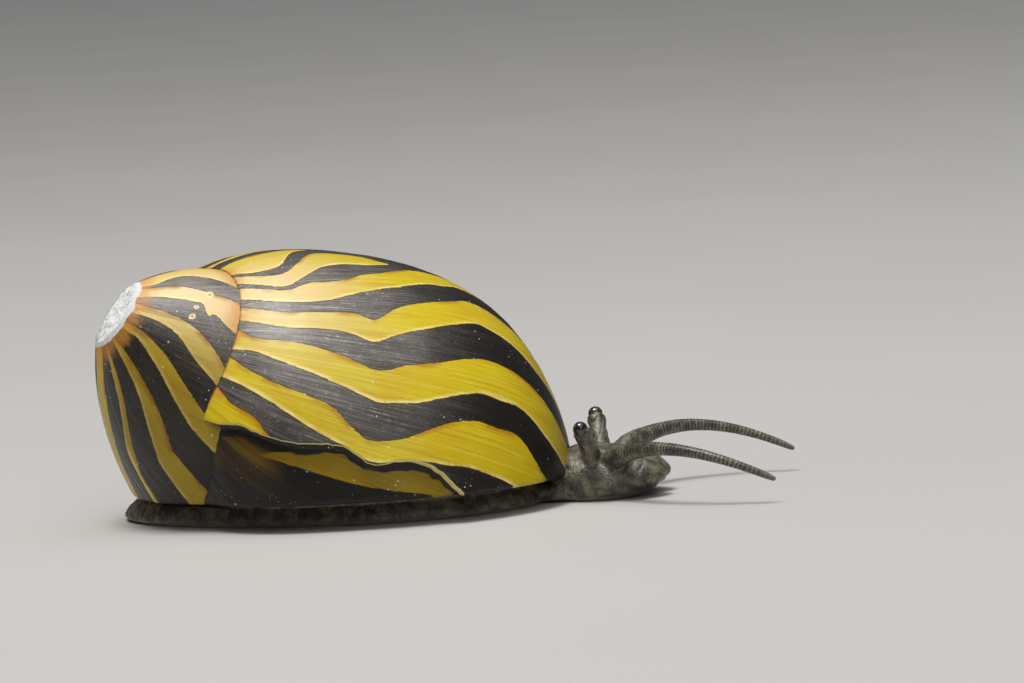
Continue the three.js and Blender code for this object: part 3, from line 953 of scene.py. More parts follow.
@dataclass(frozen=True)
class ShellFinish:
    """The glossy striped shell, from its markings to its porcelain inside.

    A ring has its turn and angle in degrees and its radius in millimetres. A noise has its scale
    and detail, and a relief its strength and its depth in millimetres.
    """

    yellow: Colour = (0.60, 0.38, 0.002, 1)
    lemon: Colour = (0.64, 0.51, 0.007, 1)
    # The pale colour of the painted highlight.
    highlight_cream: Colour = (0.86, 0.66, 0.38, 1)
    straw: Colour = (0.92, 0.76, 0.28, 1)
    ochre: Colour = (0.42, 0.18, 0.003, 1)
    orange: Colour = (0.66, 0.27, 0.045, 1)
    black: Colour = (0.013, 0.011, 0.009, 1)
    umber: Colour = (0.075, 0.030, 0.008, 1)
    # The grey tones of the painted sheen and grey wear on the dark stripes.
    silver: Colour = (0.46, 0.43, 0.40, 1)
    sheen_grey: Colour = (0.21, 0.19, 0.172, 1)
    # Dark brown tones of the regrown shell's start: partly its own colour, partly painted shade.
    amber: Colour = (0.040, 0.020, 0.004, 1)
    honey_and_shade: Colour = (0.13, 0.070, 0.004, 1)
    # Painted shade tints: one over the regrown shell, one on the shaded whorls.
    shade: Colour = (0.34, 0.27, 0.12, 1)
    olive_shade_tint: Colour = (0.44, 0.37, 0.22, 1)
    chalk: Colour = (0.72, 0.725, 0.73, 1)
    salmon: Colour = (0.64, 0.28, 0.075, 1)
    porcelain: Colour = (0.72, 0.70, 0.58, 1)
    # The pale lip line: partly the broken edge's own colour, partly a painted highlight.
    lip: Colour = (0.78, 0.66, 0.22, 1)
    tan: Colour = (0.42, 0.26, 0.13, 1)
    lime: Colour = (0.88, 0.76, 0.42, 1)
    rings: tuple[Triple, ...] = (
        (-486, 31, 0.15),
        (-472.5, 26.5, 0.09),
        (-464, 25.9, 0.12),
        (-462.3, 25.4, 0.05),
    )
    ring_nudge: float = 0.06
    ring_shares: tuple[float, float] = (0.6, 0.85)
    line_spacing: float = 0.55
    crumb_noise: tuple[float, float] = (4.0, 3.0)
    step_depth: float = 0.12
    crumb_depth: float = 0.05
    lemon_patches: Mottle = Mottle(0.45, 2.0, 0.35, 0.65, 0.0, 0.45)
    lemon_turns: Fade = Fade(-72.0, -38.0, 0.55, 0.0)
    hair_lines: Fade = Fade(0.56, 0.64, 0.0, 0.42)
    hair_groups: Fade = Fade(0.40, 0.60, 0.25, 1.0)
    fine_lines: Fade = Fade(0.54, 0.66, 0.0, 0.26)
    broad_lines: Fade = Fade(0.50, 0.72, 0.0, 0.20)
    light_lines: Fade = Fade(0.30, 0.46, 0.16, 0.0)
    # How strongly the painted highlight pales the yellow.
    highlight_share: float = 0.9
    old_only: Fade = Fade(0.0, 0.05, 1.0, 0.0)
    pale_edge: Fade = Fade(0.05, 0.24, 0.85, 0.0)
    pale_edge_patches: Mottle = Mottle(0.8, 2.0, 0.36, 0.60, 0.35, 1.0)
    brown_edge: Fade = Fade(0.02, 0.36, 0.85, 0.0)
    brown_edge_patches: Mottle = Mottle(0.55, 2.0, 0.44, 0.62)
    # The painted sheen's clouds, streaks along the growth lines, glints and patches.
    silver_clouds: Mottle = Mottle(0.5, 3.0, 0.30, 0.66, 0.5, 1.0)
    silver_hairs: Fade = Fade(0.44, 0.66)
    silver_bands: Fade = Fade(0.36, 0.60, 0.18, 0.90)
    silver_flecks: Mottle = Mottle(11.0, 2.0, 0.58, 0.70, 0.0, 0.8)
    silver_smudges: Mottle = Mottle(2.4, 6.0, 0.52, 0.66, 0.0, 0.75)
    seam_glow: Fade = Fade(7.6, 11.0, 0.6, 0.0)
    seam_glow_patches: Mottle = Mottle(0.6, 2.0, 0.42, 0.62)
    # Painted shadow: a thin dark line along the seam.
    seam_shadow: Fade = Fade(7.1, 7.9, 0.75, 0.0)
    over_seam: Fade = Fade(35.0, 43.5)
    over_seam_turns: Fade = Fade(-476.0, -436.0, 0.7, 0.0)
    stripe_border: Fade = Fade(0.0, 0.10, 0.85, 0.0)
    stripe_edge: Fade = Fade(-0.02, 0.02)
    tint_share: float = 0.85
    amber_streaks: Fade = Fade(0.38, 0.58)
    below_lip: Fade = Fade(0.0, 0.03)
    on_young: Fade = Fade(0.3, 0.5)
    shadow_depth: Mottle = Mottle(0.5, 2.0, 0.35, 0.65, 0.12, 0.42)
    shadow_edge: Fade = Fade(0.0, 0.16, 1.0, 0.0)
    lip_width: Fade = Fade(50.0, 61.0, 0.04, 0.10)
    lip_face: Fade = Fade(50.0, 61.0, 0.25, 0.9)
    lip_start: Fade = Fade(-1.3, -0.7)
    lip_end: Fade = Fade(0.0, 0.02, 1.0, 0.0)
    lip_face_edge: Fade = Fade(-0.1, 0.1, 0.9, 0.0)
    ragged_noise: tuple[float, float] = (1.6, 4.0)
    ragged_depths: tuple[float, float] = (0.9, 0.34)
    worn_glow: Fade = Fade(0.25, 0.9, 0.55, 0.0)
    worn_edge: Fade = Fade(0.13, 0.18, 1.0, 0.0)
    grit: tuple[Triple, ...] = ((2.6, 0.10, 0.75), (5.5, 0.11, 0.40))
    roughness: Fade = Fade(0.35, 0.70, 0.34, 0.50)
    chalk_roughness: float = 0.4
    pore_noise: tuple[float, float] = (5.0, 3.0)
    pore_relief: float = 0.3
    hair_relief: float = 0.5
    relief: tuple[float, float] = (0.5, 0.03)
    coat: Fade = Fade(0.1, 0.6, 0.0, 0.13)
    coat_roughness: float = 0.25
    specular: float = 0.28

    def ground(self, wiring: Wiring, lines: dict[str, Socket], where: Socket) -> Socket:
        """Wires the yellow ground with its growth lines and its paling under a painted highlight.

        Args:
            wiring: The material's wiring.
            lines: The growth lines by name.
            where: The place in millimetres.

        Returns:
            The ground's colour.
        """
        older = wiring.fade(wiring.value_of("turn"), self.lemon_turns)
        fresh = wiring.plus(wiring.mottle(where, self.lemon_patches), older)
        colour = wiring.blend(fresh, self.yellow, self.lemon)
        groups = wiring.fade(lines["Broad"], self.hair_groups)
        hairs = wiring.times(wiring.fade(lines["Hair"], self.hair_lines), groups)
        colour = wiring.blend(hairs, colour, self.ochre)
        layers = (
            ("Fine", self.fine_lines, self.ochre),
            ("Broad", self.broad_lines, self.ochre),
            ("Fine", self.light_lines, self.straw),
        )
        for name, fade, tint in layers:
            colour = wiring.blend(wiring.fade(lines[name], fade), colour, tint)
        # Painted highlight: the ground pales where it would catch the light.
        pale = wiring.times(wiring.value_of("pale"), self.highlight_share)
        return wiring.blend(pale, colour, self.highlight_cream)

    def edge_tints(self, wiring: Wiring, colour: Socket, where: Socket, steps: Socket) -> Socket:
        """Wires the pale line before each dark stripe and the brown fringe after it.

        Args:
            wiring: The material's wiring.
            colour: The ground's colour.
            where: The place in millimetres.
            steps: The small steps of the stripes' edges in millimetres.

        Returns:
            The ground's colour with its edges.
        """
        old = wiring.fade(wiring.value_of("young"), self.old_only)
        begins = wiring.plus(wiring.value_of("begins"), steps)
        ends = wiring.minus(wiring.value_of("ends"), steps)
        layers = (
            (begins, self.pale_edge, self.pale_edge_patches, self.straw),
            (ends, self.brown_edge, self.brown_edge_patches, self.ochre),
        )
        for gap, fade, patches, tint in layers:
            share = wiring.times(wiring.fade(gap, fade), wiring.mottle(where, patches))
            colour = wiring.blend(wiring.times(share, old), colour, tint)
        return colour

    def seam_tints(self, wiring: Wiring, colour: Socket, where: Socket) -> Socket:
        """Wires the orange under the seam and the salmon over it."""
        angle = wiring.value_of("angle")
        patches = wiring.mottle(where, self.seam_glow_patches)
        under = wiring.times(wiring.fade(angle, self.seam_glow), patches)
        colour = wiring.blend(under, colour, self.orange)
        on_spire = wiring.fade(wiring.value_of("turn"), self.over_seam_turns)
        over = wiring.times(wiring.fade(angle, self.over_seam), on_spire)
        return wiring.blend(over, colour, self.salmon)

    def dark(self, wiring: Wiring, lines: dict[str, Socket], where: Socket) -> Socket:
        """Wires the dark stripes' colour, lightened to grey along the growth lines by a painted sheen with
        some grey wear.

        Args:
            wiring: The material's wiring.
            lines: The growth lines by name.
            where: The place in millimetres.

        Returns:
            The dark colour.
        """
        silvery = wiring.value_of("silver")
        veil = wiring.times(silvery, wiring.mottle(where, self.silver_clouds))
        streaks = wiring.times(wiring.fade(lines["Hair"], self.silver_hairs), silvery)
        sheen = wiring.times(streaks, wiring.fade(lines["Fine"], self.silver_bands))
        glints = wiring.times(wiring.mottle(where, self.silver_flecks), veil)
        patchy_sheen = wiring.times(wiring.mottle(where, self.silver_smudges), streaks)
        # Painted sheen and glints lighten the black to grey.
        colour = wiring.blend(veil, self.black, self.sheen_grey)
        for share in (sheen, glints, patchy_sheen):
            colour = wiring.blend(share, colour, self.silver)
        return colour

    def washes(self, wiring: Wiring, colour: Socket, lines: dict[str, Socket]) -> Socket:
        """Wires the painted shade: a dull tint on the shaded whorls, a darker tint over the regrown shell
        and its dark brown start, which is partly its own brown and partly painted shade.
        """
        # Painted shade: dull tints over the shaded whorls and the regrown shell.
        for name, tint in (("film", self.olive_shade_tint), ("young", self.shade)):
            share = wiring.times(wiring.value_of(name), self.tint_share)
            colour = wiring.blend(share, colour, wiring.blend(1.0, colour, tint, "MULTIPLY"))
        # The regrown shell's dark brown start, partly its own colour, partly painted shade.
        streaks = wiring.fade(lines["Broad"], self.amber_streaks)
        tone = wiring.blend(streaks, self.honey_and_shade, self.amber)
        return wiring.blend(wiring.value_of("amber"), colour, tone)

    def lip_marks(self, wiring: Wiring, colour: Socket, where: Socket, crumbs: Socket) -> Socket:
        """Wires the painted shadow below the old lip and the pale line along its edge, partly the edge's own
        colour and partly a painted highlight.

        Args:
            wiring: The material's wiring.
            colour: The shell's colour.
            where: The place in millimetres.
            crumbs: Fine noise about zero, in millimetres, that frays the edge.

        Returns:
            The colour with the lip's marks.
        """
        angle = wiring.value_of("angle")
        young = wiring.value_of("young")
        past = wiring.plus(wiring.value_of("past_lip"), crumbs)
        # Painted shadow below the old lip.
        below = wiring.math(
            "MAXIMUM", wiring.fade(past, self.below_lip), wiring.fade(young, self.on_young)
        )
        depth = wiring.mottle(where, self.shadow_depth)
        shaded = wiring.fade(wiring.minus(past, depth), self.shadow_edge)
        colour = wiring.blend(wiring.times(below, shaded), colour, self.black)
        # The pale lip line: partly the edge's own colour, partly a painted highlight.
        widths = wiring.over(past, wiring.fade(angle, self.lip_width))
        from_face = wiring.minus(young, wiring.fade(angle, self.lip_face))
        on_lip = wiring.times(wiring.fade(widths, self.lip_start), wiring.fade(past, self.lip_end))
        on_lip = wiring.times(on_lip, wiring.fade(from_face, self.lip_face_edge))
        return wiring.blend(on_lip, colour, self.lip)

    def ring_marks(
        self, wiring: Wiring, colour: Socket, where: Socket, effect: Tree, coil: Coil
    ) -> Socket:
        """Wires the small rings on the spire.

        Args:
            wiring: The material's wiring.
            colour: The shell's colour.
            where: The place in millimetres.
            effect: The shared ring.
            coil: The growth law, which places the rings.

        Returns:
            The colour with the rings.
        """
        for turn, angle, radius in self.rings:
            centre = coil.surface(np.array(float(turn)), np.array(float(angle))) / MM
            inputs = {"Place": where, "Centre": tuple(centre + self.ring_nudge), "Radius": radius}
            ring = wiring.group(effect, inputs).outputs
            for name, share, tint in zip(("Middle", "Ring"), self.ring_shares, (self.tan, self.lime)):
                colour = wiring.blend(wiring.times(ring[name], share), colour, tint)
        return colour

    def material(self, shelf: EffectShelf, coil: Coil) -> Material:
        """Builds the shell's material.

        Args:
            shelf: The shared effects.
            coil: The growth law, which places the ring marks.

        Returns:
            The material.
        """
        material, wiring, shader = new_material("striped_shell")
        where = wiring.place_mm()
        inputs = {
            "Growth": wiring.value_of("growth"),
            "Along": wiring.value_of("angle"),
            "Spacing": self.line_spacing,
        }
        lines = wiring.group(shelf.growth_lines, inputs).outputs
        crumbs = wiring.minus(wiring.noise(where, *self.crumb_noise), 0.5)
        crumbs = wiring.times(crumbs, self.crumb_depth)
        steps = wiring.times(wiring.minus(lines["Fine"], 0.5), self.step_depth)
        steps = wiring.plus(steps, crumbs)

        ground = self.edge_tints(wiring, self.ground(wiring, lines, where), where, steps)
        ground = self.seam_tints(wiring, ground, where)
        inside = wiring.plus(wiring.value_of("dark"), steps)
        border = wiring.fade(inside, self.stripe_border)
        dark = wiring.blend(border, self.dark(wiring, lines, where), self.umber)
        colour = wiring.blend(wiring.fade(inside, self.stripe_edge), ground, dark)
        # Painted shadow along the seam.
        seam_shadow = wiring.fade(wiring.value_of("angle"), self.seam_shadow)
        colour = wiring.blend(seam_shadow, colour, self.umber)
        colour = self.washes(wiring, colour, lines)
        colour = self.lip_marks(wiring, colour, where, crumbs)
        colour = self.ring_marks(wiring, colour, where, shelf.ring_mark, coil)

        ragged = wiring.minus(wiring.noise(where, *self.ragged_noise), 0.5)
        from_flat = wiring.value_of("wear")
        wear, nibbled = (
            wiring.plus(from_flat, wiring.times(ragged, depth)) for depth in self.ragged_depths
        )
        chalky = wiring.fade(nibbled, self.worn_edge)
        colour = wiring.blend(wiring.fade(wear, self.worn_glow), colour, self.orange)
        colour = wiring.blend(chalky, colour, self.chalk)
        colour = speckled(wiring, colour, where, shelf.specks, self.grit, self.chalk)
        colour = wiring.blend(wiring.value_of("inner"), colour, self.porcelain)

        roughness = wiring.fade(lines["Fine"], self.roughness)
        pores = wiring.times(wiring.noise(where, *self.pore_noise), self.pore_relief)
        height = wiring.plus(lines["Fine"], lines["Broad"])
        height = wiring.plus(height, wiring.times(lines["Hair"], self.hair_relief))
        wiring.relief(shader, wiring.plus(height, pores), *self.relief)
        finish = {
            "Base Color": colour,
            "Roughness": wiring.plus(roughness, wiring.times(chalky, self.chalk_roughness)),
            "Coat Weight": wiring.fade(wear, self.coat),
            "Coat Roughness": self.coat_roughness,
            "Specular IOR Level": self.specular,
        }
        wiring.feed(shader, finish)
        return material


@dataclass(frozen=True)
class ChalkFinish:
    """The bare, pitted lime of the worn tip."""

    lime: Colour = (0.74, 0.75, 0.76, 1)
    stain: Colour = (0.38, 0.38, 0.385, 1)
    pits: Mottle = Mottle(4.5, 5.0, 0.52, 0.66, 0.0, 0.6)
    pit_noise: tuple[float, float] = (7.0, 5.0)
    relief: tuple[float, float] = (0.9, 0.05)
    roughness: float = 0.9

    def material(self) -> Material:
        """Builds the worn tip's material."""
        material, wiring, shader = new_material("worn_lime")
        where = wiring.place_mm()
        colour = wiring.blend(wiring.mottle(where, self.pits), self.lime, self.stain)
        wiring.feed(shader, {"Base Color": colour, "Roughness": self.roughness})
        wiring.relief(shader, wiring.noise(where, *self.pit_noise), *self.relief)
        return material


@dataclass(frozen=True)
class SkinFinish:
    """The moist skin of the soft body, with its fine wavy dark lines and dots."""

    flesh: Colour = (0.070, 0.064, 0.047, 1)
    pale: Colour = (0.20, 0.18, 0.12, 1)
    sole: Colour = (0.40, 0.36, 0.27, 1)
    lips: Colour = (0.34, 0.27, 0.17, 1)
    pigment: Colour = (0.012, 0.011, 0.010, 1)
    line_stretch: Triple = (1.5, 0.7, 0.7)
    line_hills: tuple[float, float] = (2.2, 1.5)
    line_turns: float = 70.0
    line_widths: Mottle = Mottle(2.6, 2.0, 0.35, 0.65, -0.1, 0.9)
    line_edge: Fade = Fade(-0.15, 0.30, 0.0, 0.55)
    mottling: Mottle = Mottle(1.6, 4.0, 0.38, 0.64)
    above_sole: Fade = Fade(0.0, 0.5, 1.0, 0.0)
    on_sole: Fade = Fade(0.5, 1.0, 0.0, 0.85)
    on_feeler: Fade = Fade(0.02, 0.08)
    dots: tuple[Triple, ...] = ((6.5, 0.30, 0.75), (11.0, 0.34, 0.6))
    crease_share: float = 0.7
    band_turns: float = 330.0
    band_wander: tuple[float, float] = (1.3, 7.0)
    band_edge: Fade = Fade(-0.1, 0.55)
    band_share: float = 0.8
    feeler_tip: Fade = Fade(0.88, 0.99, 0.0, 0.5)
    lip_share: float = 0.75
    roughness: Mottle = Mottle(3.0, 2.0, 0.3, 0.7, 0.30, 0.50)
    grain_noise: tuple[float, float] = (7.0, 4.0)
    fold_stretch: Triple = (3.0, 0.9, 1.6)
    fold_detail: float = 3.0
    fold_relief: float = 1.4
    band_relief: float = -0.5
    relief: tuple[float, float] = (0.75, 0.06)
    subsurface: float = 0.15
    subsurface_radius: Triple = (1.0, 0.6, 0.3)
    subsurface_depth: float = 0.3 * MM
    coat: float = 0.25
    coat_roughness: float = 0.24

    def wavy_lines(self, wiring: Wiring, where: Socket) -> Socket:
        """Wires thin wandering lines that follow the heights of a soft noise."""
        drawn_out = wiring.vector("MULTIPLY", {0: where, 1: self.line_stretch})
        hills = wiring.times(wiring.noise(drawn_out, *self.line_hills), self.line_turns)
        width = wiring.mottle(where, self.line_widths)
        return wiring.fade(wiring.minus(wiring.math("SINE", hills), width), self.line_edge)

    def feeler_bands(self, wiring: Wiring, where: Socket, on_feeler: Socket) -> Socket:
        """Wires the dark bands round the feelers."""
        scale, reach = self.band_wander
        wander = wiring.times(wiring.noise(where, scale), reach)
        turns = wiring.plus(wiring.times(wiring.value_of("feeler"), self.band_turns), wander)
        return wiring.times(wiring.fade(wiring.math("SINE", turns), self.band_edge), on_feeler)

    def material(self, shelf: EffectShelf) -> Material:
        """Builds the skin's material.

        Args:
            shelf: The shared effects.

        Returns:
            The material.
        """
        material, wiring, shader = new_material("moist_skin")
        where = wiring.place_mm()
        under = wiring.value_of("sole")
        feeler = wiring.value_of("feeler")
        upper = wiring.fade(under, self.above_sole)
        on_feeler = wiring.fade(feeler, self.on_feeler)
        lines = wiring.times(self.wavy_lines(wiring, where), upper)
        lines = wiring.times(lines, wiring.minus(1.0, on_feeler))
        colour = wiring.blend(wiring.mottle(where, self.mottling), self.flesh, self.pale)
        colour = wiring.blend(lines, colour, self.pigment)
        colour = speckled(wiring, colour, where, shelf.specks, self.dots, self.pigment, upper)
        bands = self.feeler_bands(wiring, where, on_feeler)
        layers = (
            (wiring.times(wiring.value_of("crease"), self.crease_share), self.pigment),
            (wiring.times(bands, self.band_share), self.pigment),
            (wiring.fade(feeler, self.feeler_tip), self.pale),
            (wiring.fade(under, self.on_sole), self.sole),
            (wiring.times(wiring.value_of("lips"), self.lip_share), self.lips),
        )
        for share, tint in layers:
            colour = wiring.blend(share, colour, tint)

        stretched = wiring.vector("MULTIPLY", {0: where, 1: self.fold_stretch})
        folds = wiring.times(wiring.noise(stretched, 1.0, self.fold_detail), self.fold_relief)
        height = wiring.plus(wiring.noise(where, *self.grain_noise), folds)
        height = wiring.plus(height, wiring.times(bands, self.band_relief))
        wiring.relief(shader, height, *self.relief)
        finish = {
            "Base Color": colour,
            "Roughness": wiring.mottle(where, self.roughness),
            "Subsurface Weight": self.subsurface,
            "Subsurface Radius": self.subsurface_radius,
            "Subsurface Scale": self.subsurface_depth,
            "Coat Weight": self.coat,
            "Coat Roughness": self.coat_roughness,
        }
        wiring.feed(shader, finish)
        return material


@dataclass(frozen=True)
class LidFinish:
    """The limy lid, smooth and brownish with curved growth lines."""

    horn: Colour = (0.36, 0.24, 0.17, 1)
    edge: Colour = (0.50, 0.22, 0.09, 1)
    line_spacing: float = 0.25
    bands: Fade = Fade(0.35, 0.65)
    roughness: Fade = Fade(0.3, 0.7, 0.3, 0.5)
    relief: tuple[float, float] = (0.4, 0.03)

    def material(self, shelf: EffectShelf) -> Material:
        """Builds the lid's material."""
        material, wiring, shader = new_material("limy_lid")
        parts = wiring.node("ShaderNodeSeparateXYZ", {0: wiring.place_mm()}).outputs
        inputs = {"Growth": parts[1], "Along": parts[0], "Spacing": self.line_spacing}
        lines = wiring.group(shelf.growth_lines, inputs).outputs
        colour = wiring.blend(wiring.fade(lines["Broad"], self.bands), self.horn, self.edge)
        roughness = wiring.fade(lines["Fine"], self.roughness)
        wiring.feed(shader, {"Base Color": colour, "Roughness": roughness})
        wiring.relief(shader, lines["Fine"], *self.relief)
        return material


@dataclass(frozen=True)
class EyeFinish:
    """The wet black bead of an eye, a little browner round its edge."""

    bead: Colour = (0.004, 0.004, 0.005, 1)
    ring: Colour = (0.05, 0.035, 0.02, 1)
    ring_fade: Fade = Fade(0.35, 0.75)
    mottling: Mottle = Mottle(9.0, 2.0, 0.35, 0.6, 0.5, 1.0)
    roughness: float = 0.08
    coat: float = 1.0
    coat_roughness: float = 0.03

    def material(self) -> Material:
        """Builds the eyes' material."""
        material, wiring, shader = new_material("eye_bead")
        mottled = wiring.mottle(wiring.place_mm(), self.mottling)
        share = wiring.times(wiring.fade(wiring.value_of("ring"), self.ring_fade), mottled)
        finish = {
            "Base Color": wiring.blend(share, self.bead, self.ring),
            "Roughness": self.roughness,
            "Coat Weight": self.coat,
            "Coat Roughness": self.coat_roughness,
        }
        wiring.feed(shader, finish)
        return material


@dataclass
class Shell:
    """The shell: its coiled sheet, its worn tip and the deck inside its mouth.

    Turns and angles are in degrees. Lengths are in millimetres, or in metres where they are given
    by MM. A ridge has its noise's scale and its height, a step of the rim how far inwards and how
    high it lies, and a set of pits its noise's scale and layer and its depth.
    """

    coil: Coil
    pattern: Pattern
    spire_end: float = -360.0
    last_turn: float = 8.0
    angles: tuple[float, float] = (4.0, 162.0)
    spire_rows: int = 240
    old_rows: int = 290
    young_rows: int = 64
    columns: int = 126
    heart_depth: float = 14.0
    ridge_stretch: tuple[float, float] = (0.42, 0.012)
    ridges: tuple[tuple[float, float], ...] = ((1.0, 0.022), (3.1, 0.010))
    dent_width: float = 4.5
    dent_depth: float = 0.05
    wear_down: float = 0.02
    hidden_turn: float = -364.0
    hidden_angle: float = 68.0
    # How far the dark stripes widen under the painted shade.
    film_darkening: float = 0.15
    rim_height: float = 1.3 * MM
    rim_profile: tuple[tuple[float, float], ...] = (
        (0.10, 0.03),
        (0.30, 0.0),
        (0.80, 0.04),
        (1.05, 0.28),
        (1.35, 1.45),
    )
    rim_tint_step: float = 0.5
    rim_slack: float = 0.001 * MM
    lip_rounding: float = 0.14 * MM
    outline_bins: int = 120
    outline_bands: tuple[float, float] = (0.5 * MM, 1.9 * MM)
    deck_faces: int = 48
    deck_margin: float = 0.9 * MM
    deck_height: float = 1.35
    deck_sag: float = 0.25
    patch_faces: int = 72
    patch_overlap: float = 0.03
    pits: tuple[Triple, ...] = ((2.4, 3.0, 0.10), (8.0, 7.0, 0.04))
    patch_lift: float = 0.03
    patch_drop: float = 0.05
    patch_border_slack: float = 0.01 * MM
    patch_merging: float = 0.002 * MM
    groove_depth: float = 0.05
    groove_pitch: float = 4.5

    @property
    def young_start(self) -> int:
        """The first row of the regrown shell."""
        return self.spire_rows + self.old_rows + 1

    def rows(self, share: np.ndarray, angle: np.ndarray) -> tuple[np.ndarray, np.ndarray]:
        """Spreads the grid's rows over the turns.

        Args:
            share: Shares along the coil.
            angle: Angles round the oval in degrees.

        Returns:
            The turn angles, and 1 on the regrown shell or else 0.
        """
        row = np.rint(share * (self.young_start + self.young_rows))
        lip = self.coil.old_lip(angle)
        first, end = self.pattern.first_turn, self.spire_end
        on_spire = first + (end - first) * row / self.spire_rows
        on_old = end + (lip - end) * (row - self.spire_rows) / self.old_rows
        on_young = lip + (self.last_turn - lip) * (row - self.young_start) / self.young_rows
        young = row >= self.young_start
        turn = np.where(row <= self.spire_rows, on_spire, np.where(young, on_young, on_old))
        return turn, young.astype(float)

    def build_sheet(self) -> BMesh:
        """Bends a grid into the coil and stores the markings on its vertices."""
        kept: dict[str, np.ndarray] = {}
        low, high = self.angles

        def place(share: np.ndarray, across: np.ndarray) -> np.ndarray:
            """Places the grid's points on the coil."""
            angle = low + (high - low) * across
            turn, young = self.rows(share, angle)
            kept.update(turn=turn, angle=angle, young=young)
            return self.coil.surface(turn, angle, young * self.coil.set_in)

        mesh = moulded_grid(self.young_start + self.young_rows, self.columns, place)
        turn, angle, young = kept["turn"], kept["angle"], kept["young"]
        pattern = self.pattern
        marks = pattern.darkness(turn, angle)
        # Painted shade; the dark stripes widen where it lies.
        film = pattern.film(turn, angle) * (1 - young)
        widened = self.film_darkening * film
        regrown = pattern.regrown_darkness(turn, angle)
        marks["dark"] = np.where(young > 0, regrown, marks["dark"] + widened)
        marks["begins"] = marks["begins"] - widened
        marks["ends"] = marks["ends"] - widened
        middle, facing = self.coil.worn_plane()
        past_lip = turn - self.coil.old_lip(angle)
        add_values(
            mesh,
            growth=turn + pattern.line_lean * (angle - self.coil.seam_angle),
            # Painted sheen, with some grey wear, on the dark stripes.
            silver=pattern.silver(turn, angle) * (1 - young),
            past_lip=past_lip * pattern.millimetres(turn, angle),
            wear=(middle - spots_of(mesh)) @ facing / MM,
            # Dark brown start of the regrown shell: partly its own colour, partly painted shade.
            amber=young * pattern.amber(turn, angle),
            # Painted shade on the shaded whorls.
            film=film,
            # Paling under a painted highlight.
            pale=pattern.highlight_paling(turn, angle) * (1 - young),
            inner=np.zeros_like(turn),
            **kept,
            **marks,
        )
        return mesh

    def face_outwards(self, mesh: BMesh) -> None:
        """Turns the sheet's faces away from the coil's axis."""
        mesh.normal_update()
        nothing = np.array(0.0)
        heart = Vector(self.coil.from_tip_axis(nothing, np.array(self.heart_depth), nothing))
        outward = sum(face.normal.dot(face.calc_center_median() - heart) for face in mesh.faces)
        if outward < 0:
            bmesh.ops.reverse_faces(mesh, faces=mesh.faces)

    def weather(self, mesh: BMesh) -> None:
        """Raises growth ridges and slight unevenness from the smooth coil."""
        mesh.normal_update()
        growth = mesh.verts.layers.float["growth"]
        angle = mesh.verts.layers.float["angle"]
        across, down = self.ridge_stretch
        for vert in mesh.verts:
            spot = Vector((vert[growth] * across, vert[angle] * down, 0.0))
            ridge = sum(noise.noise(spot * scale) * height for scale, height in self.ridges)
            dent = noise.noise(vert.co / (self.dent_width * MM)) * self.dent_depth
            vert.co += vert.normal * (ridge + dent - self.wear_down) * MM

    def trim(self, mesh: BMesh) -> None:
        """Cuts the sheet at the worn tip and at the rim, and drops what the whorls hide."""
        turn = mesh.verts.layers.float["turn"]
        angle = mesh.verts.layers.float["angle"]
        hidden = [
            face
            for face in mesh.faces
            if all(
                vert[turn] < self.hidden_turn and vert[angle] > self.hidden_angle
                for vert in face.verts
            )
        ]
        bmesh.ops.delete(mesh, geom=hidden, context="FACES")
        middle, facing = self.coil.worn_plane()
        cuts = (
            (Vector(middle), -Vector(facing)),
            (Vector((0, 0, self.rim_height + self.lip_rounding)), Vector((0, 0, 1))),
        )
        for spot, keep_side in cuts:
            bmesh.ops.bisect_plane(
                mesh, geom=everything_in(mesh), plane_co=spot, plane_no=keep_side, clear_inner=True
            )

    def roll_rim(self, mesh: BMesh) -> None:
        """Rolls the sheet's lower border inwards and up, as the shell's thick lip."""
        mesh.normal_update()
        inner = mesh.verts.layers.float["inner"]
        level = self.rim_height + self.lip_rounding
        border = [
            edge
            for edge in mesh.edges
            if edge.is_boundary and all(abs(vert.co.z - level) < self.rim_slack for vert in edge.verts)
        ]
        outward = {}
        for edge in border:
            for vert in edge.verts:
                flat = Vector((vert.normal.x, vert.normal.y, 0.0)).normalized()
                outward[vert] = (vert.co.copy(), flat)
        for step, (inward, height) in enumerate(self.rim_profile):
            extruded = bmesh.ops.extrude_edge_only(mesh, edges=border)
            border = [item for item in extruded["geom"] if isinstance(item, bmesh.types.BMEdge)]
            fresh = [item for item in extruded["geom"] if isinstance(item, bmesh.types.BMVert)]
            moved = {}
            tint = min(1.0, self.rim_tint_step * max(step - 1, 0))
            for vert in fresh:
                source = min(
                    (edge.other_vert(vert) for edge in vert.link_edges),
                    key=lambda other: (other not in outward, (other.co - vert.co).length),
                )
                start, flat = outward[source]
                vert.co = start - flat * inward * MM
                vert.co.z = self.rim_height + height * MM
                vert[inner] = tint
                moved[vert] = (start, flat)
            outward = moved

    def outline(self, mesh: BMesh) -> Callable[[np.ndarray], np.ndarray]:
        """Measures how far the rim reaches from the origin in each direction.

        Args:
            mesh: The trimmed sheet.

        Returns:
            A function from directions in radians to distances in metres.
        """
        bins = self.outline_bins
        reach = np.zeros((2, bins))
        low, high = (self.rim_height + level for level in self.outline_bands)
        for vert in mesh.verts:
            if vert.co.z < high:
                band = 0 if vert.co.z < low else 1
                share = math.atan2(vert.co.y, vert.co.x) / math.tau % 1.0
                cell = int(share * bins) % bins
                reach[band, cell] = max(reach[band, cell], math.hypot(vert.co.x, vert.co.y))
        least = reach.min(axis=0)
        least = np.minimum(least, np.minimum(np.roll(least, 1), np.roll(least, -1)))
        centres = (np.arange(bins) + 0.5) / bins * math.tau
        return lambda at: np.interp(np.mod(at, math.tau), centres, least, period=math.tau)

